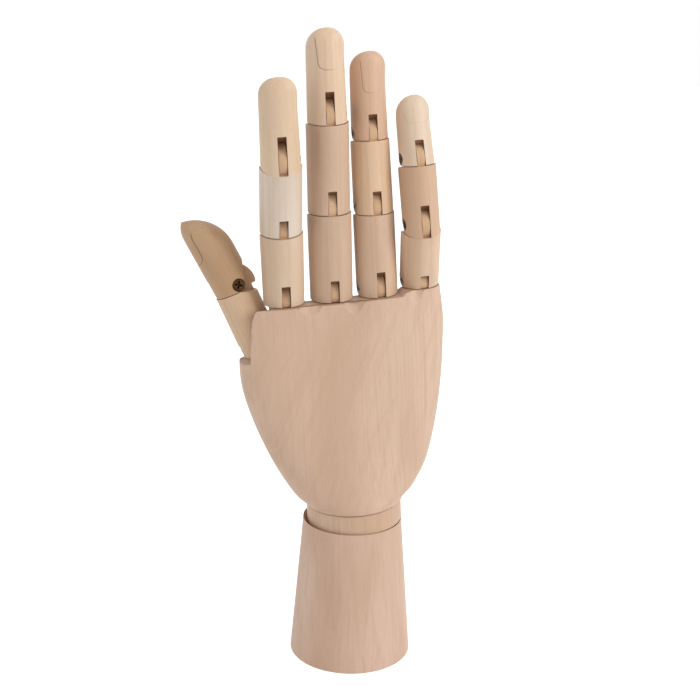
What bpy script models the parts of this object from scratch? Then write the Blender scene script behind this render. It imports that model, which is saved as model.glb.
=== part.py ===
"""Jointed wooden artist's hand on a turned cuff.

Metres, +Z up, origin at the centre of the cuff's flat foot. The back of the hand faces -Y, the
thumb lies towards -X and the palmar side faces +Y. Each digit is a row of dowels: a tongue on the
lower one turns in a slot sawn in the upper one, on a countersunk screw. The hand sits on the cuff
by a wooden ball in a dish, pulled down by a spring in the cuff's bore.
"""

import math

import bmesh
import bpy
from mathutils import Matrix, Vector

# Clearances
TOUCH_GAP = 0.0003
TONGUE_PLAY = 0.0002
GLUE_GAP = 0.0002
SCREW_PLAY = 0.0002

# Cuff
CUFF_HEIGHT = 0.059
CUFF_FOOT_RADIUS = 0.0245
CUFF_MOUTH_RADIUS = 0.0198
CUFF_FOOT_EASING = 0.0006
BORE_RADIUS = 0.006
BORE_FLOOR = 0.016
CUFF_SIDES = 40

# Wrist ball, its neck and its glued tenon
BALL_RADIUS = 0.024
NECK_RADIUS = 0.0190
TENON_RADIUS = 0.0112
TENON_RISE = 0.020
CHAMBER_RADIUS = 0.0077
CHAMBER_RISE = 0.009
FLARE_ANGLE = 28.5
HAND_LEAN = 3.5

# Wrist spring, swivel ring and the screws that anchor them
SPRING_WIRE = 0.0010
SPRING_RADIUS = 0.0035
SPRING_TURNS = 12
TURN_STEPS = 8
HOOK_HALF_WIDTH = 0.0036
HOOK_DROP = 0.0017
HOOK_LENGTH = 0.0076
RING_RADIUS = 0.0034
EYE_RADIUS = 0.0030
EYE_LIFT = 0.0019
EYE_SHANK = 0.008
ANCHOR_HEAD_RADIUS = 0.0027
ANCHOR_HEAD_THICKNESS = 0.0016
ANCHOR_SHANK_RADIUS = 0.0012
ANCHOR_DEPTH = 0.009

# Palm
KNUCKLE_HEIGHT = 0.0787

# Stations of the palm: height above the ball's centre, reach to the thumb side, to the little-finger side,
# to the back and to the palmar side, and how square the section is
PALM_STATIONS = (
    (-0.0061, 0.0195, 0.0195, 0.0195, 0.0195, 2.0),
    (-0.0048, 0.0198, 0.0198, 0.0197, 0.0197, 2.0),
    (-0.0030, 0.0222, 0.0222, 0.0192, 0.0193, 2.0),
    (0.000, 0.0246, 0.0254, 0.0178, 0.0183, 2.1),
    (0.1017 * KNUCKLE_HEIGHT, 0.0291, 0.0302, 0.0155, 0.0165, 2.2),
    (0.2287 * KNUCKLE_HEIGHT, 0.0337, 0.0333, 0.0138, 0.0151, 2.3),
    (0.4066 * KNUCKLE_HEIGHT, 0.0388, 0.0361, 0.0126, 0.0143, 2.5),
    (0.5845 * KNUCKLE_HEIGHT, 0.0422, 0.0378, 0.0119, 0.0138, 2.7),
    (0.7370 * KNUCKLE_HEIGHT, 0.0425, 0.0385, 0.0113, 0.0132, 2.9),
    (0.8640 * KNUCKLE_HEIGHT, 0.0420, 0.0388, 0.0106, 0.0120, 3.1),
    (1.0928 * KNUCKLE_HEIGHT, 0.0398, 0.0372, 0.0091, 0.0098, 3.3),
)
PALM_SIDES = 38
STATION_STEPS = 2
LITTLE_KNUCKLE_RISE = 0.0015
SCOOP_RADIUS = 0.0055
SCOOP_DEPTH = 0.0017
SCOOP_LEAN = 42.0

# Joints of the digits
PIVOT_RISE = 0.0027
TONGUE_THICKNESS = 0.0030
TONGUE_SHARE = 0.9
LOWER_BEVEL = 25.0
UPPER_BEVEL = 25.0
SAW_OFFSET = 0.0040
STEM_HALF_DEPTH = 0.0050
STEM_LENGTH = 0.009
DOWEL_SIDES = 24
TONGUE_STEPS = 12
SLOT_STEPS = 20

# Joint screws
SCREW_HEAD_RADIUS = 0.0024
SCREW_SHANK_RADIUS = 0.0012
SCREW_HEAD_RIM = 0.0003
SCREW_SINK_DEPTH = 0.0013
SCREW_FAR_BITE = 0.0030
SCREW_SIDES = 12

# Fingers: gap from the finger before at the knuckles, splay and twist in degrees, and for each segment
# its length between joint planes, radii at its foot and top, lean towards the back of the hand
# in degrees and height of its slot above the joint plane. The screw heads face the side given.
INDEX_ACROSS = -0.0239
FINGERS = {
    "index": {
        "gap": 0.0, "rise": 0.0, "splay": -0.1, "twist": -3.5, "head_side": 1,
        "proximal": (0.0295, 0.0079, 0.00832, 7.7, 0.0100),
        "middle": (0.0293, 0.0081, 0.0080, 20.0, 0.0098),
        "distal": (0.0340, 0.00765, 0.0071, 2.0, 0.0127),
    },
    "middle": {
        "gap": 0.0026, "rise": 0.0, "splay": 1.0, "twist": -1.5, "head_side": 1,
        "proximal": (0.0342, 0.0082, 0.0085, 0.0, 0.0089),
        "middle": (0.0349, 0.0081, 0.00812, 2.3, 0.0100),
        "distal": (0.0351, 0.0077, 0.0071, -3.0, 0.0121),
    },
    "ring": {
        "gap": 0.0020, "rise": 0.0, "splay": 0.1, "twist": 0.0, "head_side": -1,
        "proximal": (0.0321, 0.0080, 0.00795, -2.2, 0.0100),
        "middle": (0.0281, 0.0077, 0.0074, -3.8, 0.0092),
        "distal": (0.0338, 0.0070, 0.0067, -1.0, 0.0106),
    },
    "little": {
        "gap": 0.0015, "rise": LITTLE_KNUCKLE_RISE, "splay": -0.6, "twist": 1.0,
        "head_side": -1,
        "proximal": (0.0242, 0.0076, 0.0077, 14.0, 0.0076),
        "middle": (0.0250, 0.0071, 0.0073, -7.0, 0.0101),
        "distal": (0.0264, 0.0068, 0.0064, -12.0, 0.0096),
    },
}
FINGER_MAX_BEND = 86.0


def places_across():
    """Where each finger's knuckle lies across the hand."""
    places = {}
    place = INDEX_ACROSS
    radius_before = FINGERS["index"]["proximal"][1]
    for name, sizes in FINGERS.items():
        radius = sizes["proximal"][1]
        if name != "index":
            place += radius_before + sizes["gap"] + radius
        places[name] = place
        radius_before = radius
    return places


# Thumb: place of its foot on the ledge, lean to the side, and its two segments as above
THUMB_PLACE = (-0.0328, 0.0044, 0.0600)
THUMB_SPLAY = -20.0
THUMB_PROXIMAL = (0.0252, 0.0080, 0.0080, -8.0, 0.0090)
THUMB_DISTAL = (0.0333, 0.0080, 0.0080, 4.0, 0.0085)
THUMB_PIVOT_OFFSET = 0.0018
THUMB_UPPER_BEVEL = 48.0
THUMB_LOWER_BEVEL = 20.0
THUMB_MAX_SWING = 58.0
THUMB_MAX_BEND = 34.0
NOTCH_SIDE_GAP = 0.0009
NOTCH_WALL_GAP = 0.0008
NOTCH_WALL_ANGLE = 15.0

# Wrist range in degrees, to either side of upright
MAX_NOD = 20.0
MAX_LEAN = 15.0

DISH_RADIUS = BALL_RADIUS + TOUCH_GAP
HEEL_DROP = -PALM_STATIONS[0][0]
WRIST_HEIGHT = CUFF_HEIGHT + math.sqrt(DISH_RADIUS**2 - CUFF_MOUTH_RADIUS**2)
ACROSS = places_across()
FAR = 0.2

for old in list(bpy.data.objects):
    bpy.data.objects.remove(old)

parts = bpy.data.collections.new("wooden_hand")
cutters = bpy.data.collections.new("cutters")
bpy.context.scene.collection.children.link(parts)
bpy.context.scene.collection.children.link(cutters)


def sine(degrees):
    return math.sin(math.radians(degrees))


def cosine(degrees):
    return math.cos(math.radians(degrees))


def material(name, colour, roughness, metallic=0.0):
    """A Principled material with a linear colour."""
    made = bpy.data.materials.new(name)
    made.use_nodes = True
    shader = made.node_tree.nodes["Principled BSDF"]
    shader.inputs["Base Color"].default_value = (*colour, 1.0)
    shader.inputs["Roughness"].default_value = roughness
    shader.inputs["Metallic"].default_value = metallic
    return made


def wood(name, shade=1.0):
    return material(name, (0.62 * shade, 0.42 * shade, 0.28 * shade), 0.5)


def bronze(name):
    return material(name, (0.062, 0.026, 0.009), 0.4, 1.0)


def steel(name):
    return material(name, (0.56, 0.55, 0.53), 0.35, 1.0)


def add_object(name, data, parent, collection=parts):
    made = bpy.data.objects.new(name, data)
    made.parent = parent
    collection.objects.link(made)
    if collection == cutters:
        made.hide_render = True
        made.display_type = "WIRE"
    return made


def add_frame(name, parent, location, turn=(0.0, 0.0, 0.0)):
    """An empty, turned first about its own X, then Y, then Z of the frame before, in degrees."""
    made = add_object(name, None, parent)
    made.rotation_mode = "ZYX"
    made.rotation_euler = [math.radians(angle) for angle in turn]
    made.location = location
    made.empty_display_size = 0.01
    return made


def mesh_from(name, shape, finish):
    """Turns a bmesh into smooth-shaded mesh data with one material."""
    bmesh.ops.recalc_face_normals(shape, faces=shape.faces)
    mesh = bpy.data.meshes.new(name)
    shape.to_mesh(mesh)
    shape.free()
    if finish:
        mesh.materials.append(finish)
    mesh.shade_smooth()
    mesh.set_sharp_from_angle(angle=math.radians(35.0))
    return mesh


def cylinder_mesh(name, radius, low, high, sides, finish=None, top_radius=None, axis="Z"):
    """A cylinder or a cone frustum along Z, or along X, between two places on that axis."""
    shape = bmesh.new()
    bmesh.ops.create_cone(
        shape, cap_ends=True, segments=sides, radius1=radius,
        radius2=radius if top_radius is None else top_radius, depth=high - low,
    )
    place = Matrix.Translation((0.0, 0.0, (low + high) / 2))
    if axis == "X":
        place = Matrix.Rotation(math.radians(90.0), 4, "Y") @ place
    bmesh.ops.transform(shape, matrix=place, verts=shape.verts)
    return mesh_from(name, shape, finish)


def loft_mesh(name, rings, finish):
    """Skins closed rings that have as many points each, and caps both ends."""
    shape = bmesh.new()
    rows = [[shape.verts.new(point) for point in ring] for ring in rings]
    for low, high in zip(rows, rows[1:]):
        for i in range(len(low)):
            j = (i + 1) % len(low)
            shape.faces.new((low[i], low[j], high[j], high[i]))
    shape.faces.new(rows[0])
    shape.faces.new(rows[-1])
    return mesh_from(name, shape, finish)


def slab_mesh(name, outline, low, high, finish=None):
    """A flat outline given as (y, z), made solid between two places on X."""
    curve = bpy.data.curves.new(name, "CURVE")
    curve.dimensions = "2D"
    curve.fill_mode = "BOTH"
    curve.extrude = (high - low) / 2
    line = curve.splines.new("POLY")
    line.points.add(len(outline) - 1)
    for point, (y, z) in zip(line.points, outline):
        point.co = (y, z, 0.0, 1.0)
    line.use_cyclic_u = True
    drawn = bpy.data.objects.new(name, curve)
    parts.objects.link(drawn)
    bpy.context.view_layer.update()
    flat = bpy.data.meshes.new_from_object(drawn.evaluated_get(bpy.context.evaluated_depsgraph_get()))
    bpy.data.objects.remove(drawn)
    shape = bmesh.new()
    shape.from_mesh(flat)
    bmesh.ops.remove_doubles(shape, verts=shape.verts, dist=1e-6)
    upright = Matrix(((0, 0, 1, (low + high) / 2), (1, 0, 0, 0), (0, 1, 0, 0), (0, 0, 0, 1)))
    bmesh.ops.transform(shape, matrix=upright, verts=shape.verts)
    return mesh_from(name, shape, finish)


def turned_object(name, profile, parent, finish, sides, collection=parts):
    """Turns a profile of (radius, height) about Z. It runs from the top down the outside."""
    mesh = bpy.data.meshes.new(name)
    edges = [(i, i + 1) for i in range(len(profile) - 1)]
    mesh.from_pydata([(radius, 0.0, height) for radius, height in profile], edges, [])
    if finish:
        mesh.materials.append(finish)
    made = add_object(name, mesh, parent, collection)
    turn = made.modifiers.new("turned", "SCREW")
    turn.steps = sides
    turn.render_steps = sides
    turn.use_merge_vertices = True
    turn.merge_threshold = 1e-6
    turn.use_smooth_shade = True
    return made


def wire_object(name, route, radius, parent, finish, closed=False):
    """A round wire along a list of points, with closed ends."""
    curve = bpy.data.curves.new(name, "CURVE")
    curve.dimensions = "3D"
    curve.bevel_depth = radius
    curve.bevel_resolution = 1
    curve.use_fill_caps = not closed
    line = curve.splines.new("POLY")
    line.points.add(len(route) - 1)
    for point, place in zip(line.points, route):
        point.co = (*place, 1.0)
    line.use_cyclic_u = closed
    curve.materials.append(finish)
    return add_object(name, curve, parent)


def shape_with(piece, cutter, operation="DIFFERENCE"):
    step = piece.modifiers.new(cutter.name, "BOOLEAN")
    step.operation = operation
    step.solver = "EXACT"
    step.object = cutter


def arc(radius, start, end, steps, centre=(0.0, 0.0)):
    """Points on a circle, from one angle to another in degrees."""
    points = []
    for i in range(steps + 1):
        angle = start + (end - start) * i / steps
        points.append((centre[0] + radius * cosine(angle), centre[1] + radius * sine(angle)))
    return points


# Side outlines of a joint, as (y, z) about its pivot. The palmar side is +Y.


def foot_outline(lean, bevel):
    """The foot of an upper piece: a flat parallel to the piece below, a nose and a palmar bevel."""
    nose = PIVOT_RISE - TOUCH_GAP
    flat = Vector((cosine(lean), -sine(lean)))
    start = Vector((-nose * sine(lean), -nose * cosine(lean))) - flat * FAR
    rise = Vector((sine(bevel), cosine(bevel)))
    end = Vector((nose * cosine(bevel), -nose * sine(bevel))) + rise * FAR
    return [tuple(start), *arc(nose, -90.0 - lean, -bevel, 6), tuple(end), (-FAR, FAR)]


def crown_outline(height, bevel):
    """The top of a lower piece whose pivot is at a height: a flat and a palmar bevel below it."""
    turn = -PIVOT_RISE * math.tan(math.radians(bevel / 2))
    level = height - PIVOT_RISE
    fall = FAR * math.tan(math.radians(bevel))
    return [(-FAR, level), (turn, level), (turn + FAR, level - fall), (turn + FAR, -FAR), (-FAR, -FAR)]


def tongue_outline(height, radius, sunk):
    """A round-ended tongue about a pivot at a height, running a little into its own piece."""
    base = height - PIVOT_RISE - sunk
    side = PIVOT_RISE - TOUCH_GAP
    half = math.sqrt(radius**2 - side**2)
    angle = math.degrees(math.asin(side / radius))
    round_end = arc(radius, -angle, 180.0 + angle, TONGUE_STEPS, (0.0, height))
    shoulder = height - side - TOUCH_GAP / 3
    return [*round_end, (-half, base), (STEM_HALF_DEPTH, base), (STEM_HALF_DEPTH, shoulder)]


def slot_outline(swept, blade, back):
    """The disc that the tongue sweeps, joined to the saw's disc, whose middle lies behind the back.

    The slot is highest at the back, where the saw comes in, and falls towards the tongue.
    """
    meet = math.degrees(math.acos((back**2 + swept**2 - blade**2) / (2 * back * swept)))
    seen = math.degrees(math.acos((back**2 + blade**2 - swept**2) / (2 * back * blade)))
    front = arc(swept, meet - 180.0, 180.0 - meet, SLOT_STEPS)
    behind = arc(blade, seen, 360.0 - seen, SLOT_STEPS // 2, (-back, 0.0))
    return front + behind[1:-1]


def flush_height(radius, offset):
    """How far out a screw head lies that is sunk until its rim meets a dowel with its middle offset."""
    return math.sqrt(radius**2 - (SCREW_HEAD_RADIUS + offset) ** 2)


def add_screw_hole(piece, frame, radius, side, offset):
    """A countersunk hole across a slotted piece, with its mouth on one side."""
    flush = flush_height(radius, offset)
    head = SCREW_HEAD_RADIUS + SCREW_PLAY
    shank = SCREW_SHANK_RADIUS + SCREW_PLAY
    sink = flush - SCREW_SINK_DEPTH - SCREW_PLAY
    rim = flush - SCREW_HEAD_RIM - SCREW_PLAY
    end = -radius + SCREW_FAR_BITE - SCREW_PLAY
    profile = [(0, FAR / 10), (head, FAR / 10), (head, rim), (shank, sink), (shank, end), (0, end)]
    cutter = turned_object(piece.name + "_screw_hole", profile, frame, None, SCREW_SIDES, cutters)
    cutter.rotation_euler = (0.0, math.radians(90.0 * side), 0.0)
    shape_with(piece, cutter)


def add_screw(name, frame, radius, side, offset):
    flush = flush_height(radius, offset)
    end = -radius + SCREW_FAR_BITE
    profile = [
        (0, flush), (SCREW_HEAD_RADIUS, flush), (SCREW_HEAD_RADIUS, flush - SCREW_HEAD_RIM),
        (SCREW_SHANK_RADIUS, flush - SCREW_SINK_DEPTH),
        (SCREW_SHANK_RADIUS, end + SCREW_SHANK_RADIUS), (0, end),
    ]
    screw = turned_object(name, profile, frame, bronze(name), SCREW_SIDES)
    screw.rotation_euler = (0.0, math.radians(90.0 * side), 0.0)


def add_foot(piece, frame, radius, lean, bevel, slot_height, side, offset):
    """Cuts the foot, the sawn slot and the screw hole of a piece that turns on a tongue."""
    foot = add_object(
        piece.name + "_foot", slab_mesh(piece.name + "_foot", foot_outline(lean, bevel), -FAR, FAR),
        frame, cutters,
    )
    shape_with(piece, foot, "INTERSECT")
    half = TONGUE_THICKNESS / 2 + TONGUE_PLAY
    swept = math.hypot(TONGUE_SHARE * radius, PIVOT_RISE) + TOUCH_GAP
    blade = math.hypot(SAW_OFFSET, slot_height - PIVOT_RISE)
    outline = slot_outline(swept, blade, radius + offset + SAW_OFFSET)
    slot = add_object(
        piece.name + "_slot", slab_mesh(piece.name + "_slot", outline, -half, half), frame, cutters
    )
    shape_with(piece, slot)
    add_screw_hole(piece, frame, radius, side, offset)


def add_crown(piece, frame, height, radius, bevel):
    """Cuts the top of a piece and joins the tongue that the next piece turns on."""
    crown = add_object(
        piece.name + "_crown", slab_mesh(piece.name + "_crown", crown_outline(height, bevel), -FAR, FAR),
        frame, cutters,
    )
    shape_with(piece, crown, "INTERSECT")
    half = TONGUE_THICKNESS / 2
    outline = tongue_outline(height, TONGUE_SHARE * radius, 2 * PIVOT_RISE)
    tongue = add_object(
        piece.name + "_tongue", slab_mesh(piece.name + "_tongue", outline, -half, half), frame, cutters
    )
    shape_with(piece, tongue, "UNION")
    hole = SCREW_SHANK_RADIUS + SCREW_PLAY
    bore = add_object(
        piece.name + "_pin_hole",
        cylinder_mesh(piece.name + "_pin_hole", hole, -2 * half, 2 * half, SCREW_SIDES, axis="X"),
        frame, cutters,
    )
    bore.location = (0.0, 0.0, height)
    shape_with(piece, bore)


def add_tab(name, palm, frame, radius):
    """A loose tongue glued in a mortise of the palm, about a pivot above the frame's origin."""
    half = TONGUE_THICKNESS / 2
    reach = TONGUE_SHARE * radius
    side = PIVOT_RISE - TOUCH_GAP
    angle = math.degrees(math.asin(side / reach))
    level = -side
    shoulder = level - TOUCH_GAP / 3
    outline = [
        *arc(reach, -angle, 180.0 + angle, TONGUE_STEPS),
        (-STEM_HALF_DEPTH, shoulder), (-STEM_HALF_DEPTH, level - STEM_LENGTH),
        (STEM_HALF_DEPTH, level - STEM_LENGTH), (STEM_HALF_DEPTH, shoulder),
    ]
    tab = add_object(name, slab_mesh(name, outline, -half, half, wood(name, 0.8)), frame)
    tab.location = (0.0, 0.0, PIVOT_RISE)
    hole = add_object(
        name + "_pin_hole",
        cylinder_mesh(
            name + "_pin_hole", SCREW_SHANK_RADIUS + SCREW_PLAY, -2 * half, 2 * half, SCREW_SIDES,
            axis="X",
        ),
        frame, cutters,
    )
    hole.location = tab.location
    shape_with(tab, hole)
    wide = half + GLUE_GAP
    deep = STEM_HALF_DEPTH + GLUE_GAP
    floor = -STEM_LENGTH - GLUE_GAP
    pocket = [(-deep, floor), (deep, floor), (deep, reach), (-deep, reach)]
    mortise = add_object(name + "_mortise", slab_mesh(name + "_mortise", pocket, -wide, wide), frame, cutters)
    shape_with(palm, mortise)


def dome_rings(radius_low, radius_high, bottom, top):
    """Rings of a finger's last segment: a dowel whose back runs straight to a rounded tip."""
    rings = []
    dome = top - 2 * radius_high
    ball = top - radius_high
    heights = [bottom, dome]
    heights += [dome + (top - dome) * sine(90.0 * i / 7) for i in range(1, 7)]
    heights += [top - radius_high * 0.004]
    for z in heights:
        radius = radius_low + (radius_high - radius_low) * min(1.0, (z - bottom) / (dome - bottom))
        along = max(0.0, (z - dome) / (top - dome))
        near = max(0.0, (z - ball) / radius_high)
        half_width = radius * math.sqrt(1.0 - near**2)
        palmar = -radius + 2 * radius * math.sqrt(1.0 - along**2)
        back = -radius + 0.3 * radius * near**3
        palmar = max(palmar, back + 0.002 * radius)
        middle = (palmar + back) / 2
        depth = (palmar - back) / 2
        rings.append([
            (half_width * cosine(360.0 * i / DOWEL_SIDES), middle + depth * sine(360.0 * i / DOWEL_SIDES), z)
            for i in range(DOWEL_SIDES)
        ])
    return rings


def note_joint(name, frame, turns_from, axis, lowest, highest):
    """Notes on a frame the hinge it carries: its axis there and its range in degrees from rest."""
    frame["joint"] = name
    frame["turns_from"] = turns_from
    frame["axis"] = axis
    frame["range_degrees"] = (lowest, highest)


def note_bend(name, frame, turns_from, limit, opposed=False):
    """Notes a hinge that bends about -X. An opposed one has its axis turned round."""
    if opposed:
        note_joint(name, frame, turns_from, (1.0, 0.0, 0.0), -limit, 0.0)
    else:
        note_joint(name, frame, turns_from, (-1.0, 0.0, 0.0), 0.0, limit)


def add_segment(name, frame, sizes, rest_bend, bevel, side, domed, offset=0.0):
    """One segment of a digit on the frame of its own pivot, which may lie off the dowel's middle."""
    length, low, high, _, slot_height = sizes
    bottom = -2 * PIVOT_RISE - low * abs(sine(rest_bend))
    if domed:
        mesh = loft_mesh(name, dome_rings(low, high, bottom, length - PIVOT_RISE), wood(name))
    else:
        mesh = cylinder_mesh(name, low, bottom, length, DOWEL_SIDES, wood(name), high)
    mesh.transform(Matrix.Translation((0.0, -offset, 0.0)))
    piece = add_object(name, mesh, frame)
    add_foot(piece, frame, low, rest_bend, bevel, slot_height, side, offset)
    add_screw(name + "_screw", frame, low, side, offset)
    return piece


def add_finger(name, sizes, palm, hand):
    level = KNUCKLE_HEIGHT + sizes["rise"]
    seat = add_frame(
        name + "_seat", hand, (ACROSS[name], 0.0, level), (0.0, sizes["splay"], sizes["twist"])
    )
    add_tab(name + "_knuckle_tab", palm, seat, sizes["proximal"][1])
    frame = seat
    height = PIVOT_RISE
    lean_before = 0.0
    below = "palm"
    for order, part in enumerate(("proximal", "middle", "distal")):
        rest_bend = sizes[part][3] - lean_before
        frame = add_frame(f"{name}_{part}_pivot", frame, (0.0, 0.0, height), (rest_bend, 0.0, 0.0))
        is_last = part == "distal"
        segment = add_segment(
            f"{name}_{part}", frame, sizes[part], rest_bend, UPPER_BEVEL, sizes["head_side"], is_last
        )
        if not is_last:
            add_crown(segment, frame, sizes[part][0], sizes[part][2], LOWER_BEVEL)
        # Neighbouring joints of a finger have their axes in opposite directions.
        note_bend(f"{name}_{part}_bend", frame, below, FINGER_MAX_BEND + rest_bend, order == 1)
        height = sizes[part][0]
        lean_before = sizes[part][3]
        below = segment.name


def add_thumb(palm, hand):
    seat = add_frame("thumb_seat", hand, THUMB_PLACE, (0.0, THUMB_SPLAY, 0.0))
    radius = THUMB_PROXIMAL[1]
    side = radius + NOTCH_SIDE_GAP
    wall = -(radius + NOTCH_WALL_GAP)
    slope = math.tan(math.radians(NOTCH_WALL_ANGLE))
    notch_outline = [
        (side, wall), (side, FAR), (-FAR, FAR), (-FAR, wall - slope * FAR), (0.0, wall),
    ]
    notch = bmesh.new()
    floor = notch.faces.new([notch.verts.new((x, y, 0.0)) for x, y in notch_outline])
    raised = bmesh.ops.extrude_face_region(notch, geom=[floor])["geom"]
    corners = [item for item in raised if isinstance(item, bmesh.types.BMVert)]
    bmesh.ops.translate(notch, vec=(0.0, 0.0, FAR), verts=corners)
    notch_cutter = add_object("palm_thumb_notch", mesh_from("palm_thumb_notch", notch, None), seat, cutters)
    shape_with(palm, notch_cutter)
    turn = -PIVOT_RISE * math.tan(math.radians(THUMB_LOWER_BEVEL / 2))
    drop = math.tan(math.radians(THUMB_LOWER_BEVEL))
    bevel_outline = [(turn, 0.0), (turn + FAR, -FAR * drop), (turn + FAR, FAR), (turn, FAR)]
    bevel = add_object(
        "palm_thumb_bevel", slab_mesh("palm_thumb_bevel", bevel_outline, -FAR, side), seat, cutters
    )
    shape_with(palm, bevel)
    add_tab("thumb_base_tab", palm, seat, radius)

    swing = add_frame("thumb_proximal_pivot", seat, (0.0, 0.0, PIVOT_RISE), (THUMB_PROXIMAL[3], 0.0, 0.0))
    proximal = add_segment(
        "thumb_proximal", swing, THUMB_PROXIMAL, THUMB_PROXIMAL[3], THUMB_UPPER_BEVEL, -1, False
    )
    note_bend("thumb_swing", swing, "palm", THUMB_MAX_SWING + THUMB_PROXIMAL[3], True)
    # The last joint of the thumb bends towards the fingers, so its frame is a quarter turn round.
    across = add_frame("thumb_quarter_turn", swing, (THUMB_PIVOT_OFFSET, 0.0, 0.0), (0.0, 0.0, -90.0))
    add_crown(proximal, across, THUMB_PROXIMAL[0], THUMB_PROXIMAL[2], LOWER_BEVEL)
    bend = add_frame("thumb_distal_pivot", across, (0.0, 0.0, THUMB_PROXIMAL[0]), (THUMB_DISTAL[3], 0.0, 0.0))
    add_segment(
        "thumb_distal", bend, THUMB_DISTAL, THUMB_DISTAL[3], UPPER_BEVEL, 1, True, THUMB_PIVOT_OFFSET
    )
    note_bend("thumb_distal_bend", bend, proximal.name, THUMB_MAX_BEND + THUMB_DISTAL[3])


def smooth_between(rows, steps):
    """A smooth curve through rows of numbers, with some steps between one row and the next."""
    result = []
    for i in range(len(rows) - 1):
        before = rows[max(i - 1, 0)]
        start, end = rows[i], rows[i + 1]
        after = rows[min(i + 2, len(rows) - 1)]
        for step in range(steps):
            t = step / steps
            row = []
            for a, b, c, d in zip(before, start, end, after):
                row.append(0.5 * (2 * b + (c - a) * t + (2 * a - 5 * b + 4 * c - d) * t**2
                                  + (3 * b - a - 3 * c + d) * t**3))
            result.append(row)
    result.append(list(rows[-1]))
    return result


def palm_rings():
    rings = []
    for height, thumb_side, little_side, back, front, square in smooth_between(PALM_STATIONS, STATION_STEPS):
        ring = []
        for i in range(PALM_SIDES):
            c = cosine(360.0 * i / PALM_SIDES)
            s = sine(360.0 * i / PALM_SIDES)
            x = math.copysign(abs(c) ** (2 / square), c) * (little_side if c > 0 else thumb_side)
            y = math.copysign(abs(s) ** (2 / square), s) * (front if s > 0 else back)
            ring.append((x, y, height))
        rings.append(ring)
    return rings


def add_palm(hand):
    palm = add_object("palm", loft_mesh("palm", palm_rings(), wood("palm")), hand)
    turn = -PIVOT_RISE * math.tan(math.radians(LOWER_BEVEL / 2))
    drop = FAR * math.tan(math.radians(LOWER_BEVEL))
    boundary = (ACROSS["ring"] + ACROSS["little"]) / 2
    for label, low, high, rise in (
        ("palm_top", -FAR, boundary, 0.0),
        ("palm_little_top", boundary, FAR, LITTLE_KNUCKLE_RISE),
    ):
        level = KNUCKLE_HEIGHT + rise
        outline = [(-FAR, level), (turn, level), (turn + FAR, level - drop), (turn + FAR, FAR), (-FAR, FAR)]
        shape_with(palm, add_object(label, slab_mesh(label, outline, low, high), hand, cutters))
    names = list(FINGERS)
    for first, second in zip(names, names[1:]):
        label = f"palm_scoop_{first}_{second}"
        level = KNUCKLE_HEIGHT + min(FINGERS[first]["rise"], FINGERS[second]["rise"])
        middle = (ACROSS[first] + ACROSS[second]) / 2
        scoop = add_object(
            label, cylinder_mesh(label, SCOOP_RADIUS, -FAR / 8, FAR / 8, DOWEL_SIDES), hand, cutters
        )
        edge = PALM_STATIONS[-1][3]
        reach = SCOOP_RADIUS - SCOOP_DEPTH * sine(SCOOP_LEAN)
        scoop.location = (middle, -edge - reach * cosine(SCOOP_LEAN), level + reach * sine(SCOOP_LEAN))
        scoop.rotation_euler = (math.radians(-SCOOP_LEAN), 0.0, 0.0)
        shape_with(palm, scoop)
    socket = add_object(
        "palm_socket",
        cylinder_mesh(
            "palm_socket", TENON_RADIUS + GLUE_GAP, -2 * HEEL_DROP, TENON_RISE + GLUE_GAP, DOWEL_SIDES
        ),
        hand, cutters,
    )
    shape_with(palm, socket)
    return palm


def add_cuff():
    base = BORE_FLOOR - ANCHOR_DEPTH - SCREW_PLAY
    rim = WRIST_HEIGHT - math.sqrt(DISH_RADIUS**2 - BORE_RADIUS**2)
    foot_angle = math.degrees(math.asin(BORE_RADIUS / DISH_RADIUS))
    mouth_angle = math.degrees(math.asin(CUFF_MOUTH_RADIUS / DISH_RADIUS))
    dish = arc(DISH_RADIUS, -90.0 + foot_angle, -90.0 + mouth_angle, 6, (0.0, WRIST_HEIGHT))
    hole = ANCHOR_SHANK_RADIUS + SCREW_PLAY
    profile = [
        (0.0, base), (hole, base), (hole, BORE_FLOOR), (BORE_RADIUS, BORE_FLOOR), (BORE_RADIUS, rim),
        *dish[1:],
        (CUFF_FOOT_RADIUS, CUFF_FOOT_EASING), (CUFF_FOOT_RADIUS - CUFF_FOOT_EASING, 0.0), (0.0, 0.0),
    ]
    turned_object("cuff", profile, None, wood("cuff"), CUFF_SIDES)


def add_wrist_ball(hand):
    neck_angle = math.degrees(math.asin(NECK_RADIUS / BALL_RADIUS))
    seat = arc(BALL_RADIUS, -90.0 + neck_angle, -90.0 + FLARE_ANGLE, 4)
    flare_top = -CHAMBER_RADIUS / math.tan(math.radians(FLARE_ANGLE))
    pilot = SPRING_WIRE / 2 + SCREW_PLAY
    shank_top = EYE_LIFT + 2 * EYE_RADIUS + EYE_SHANK + SCREW_PLAY
    shoulder = -HEEL_DROP - TOUCH_GAP
    profile = [
        (0.0, TENON_RISE), (TENON_RADIUS, TENON_RISE), (TENON_RADIUS, shoulder), (NECK_RADIUS, shoulder),
        *seat,
        (CHAMBER_RADIUS, flare_top), (CHAMBER_RADIUS, CHAMBER_RISE), (pilot, CHAMBER_RISE),
        (pilot, shank_top), (0.0, shank_top),
    ]
    turned_object("wrist_ball", profile, hand, wood("wrist_ball", 0.95), CUFF_SIDES)


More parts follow.
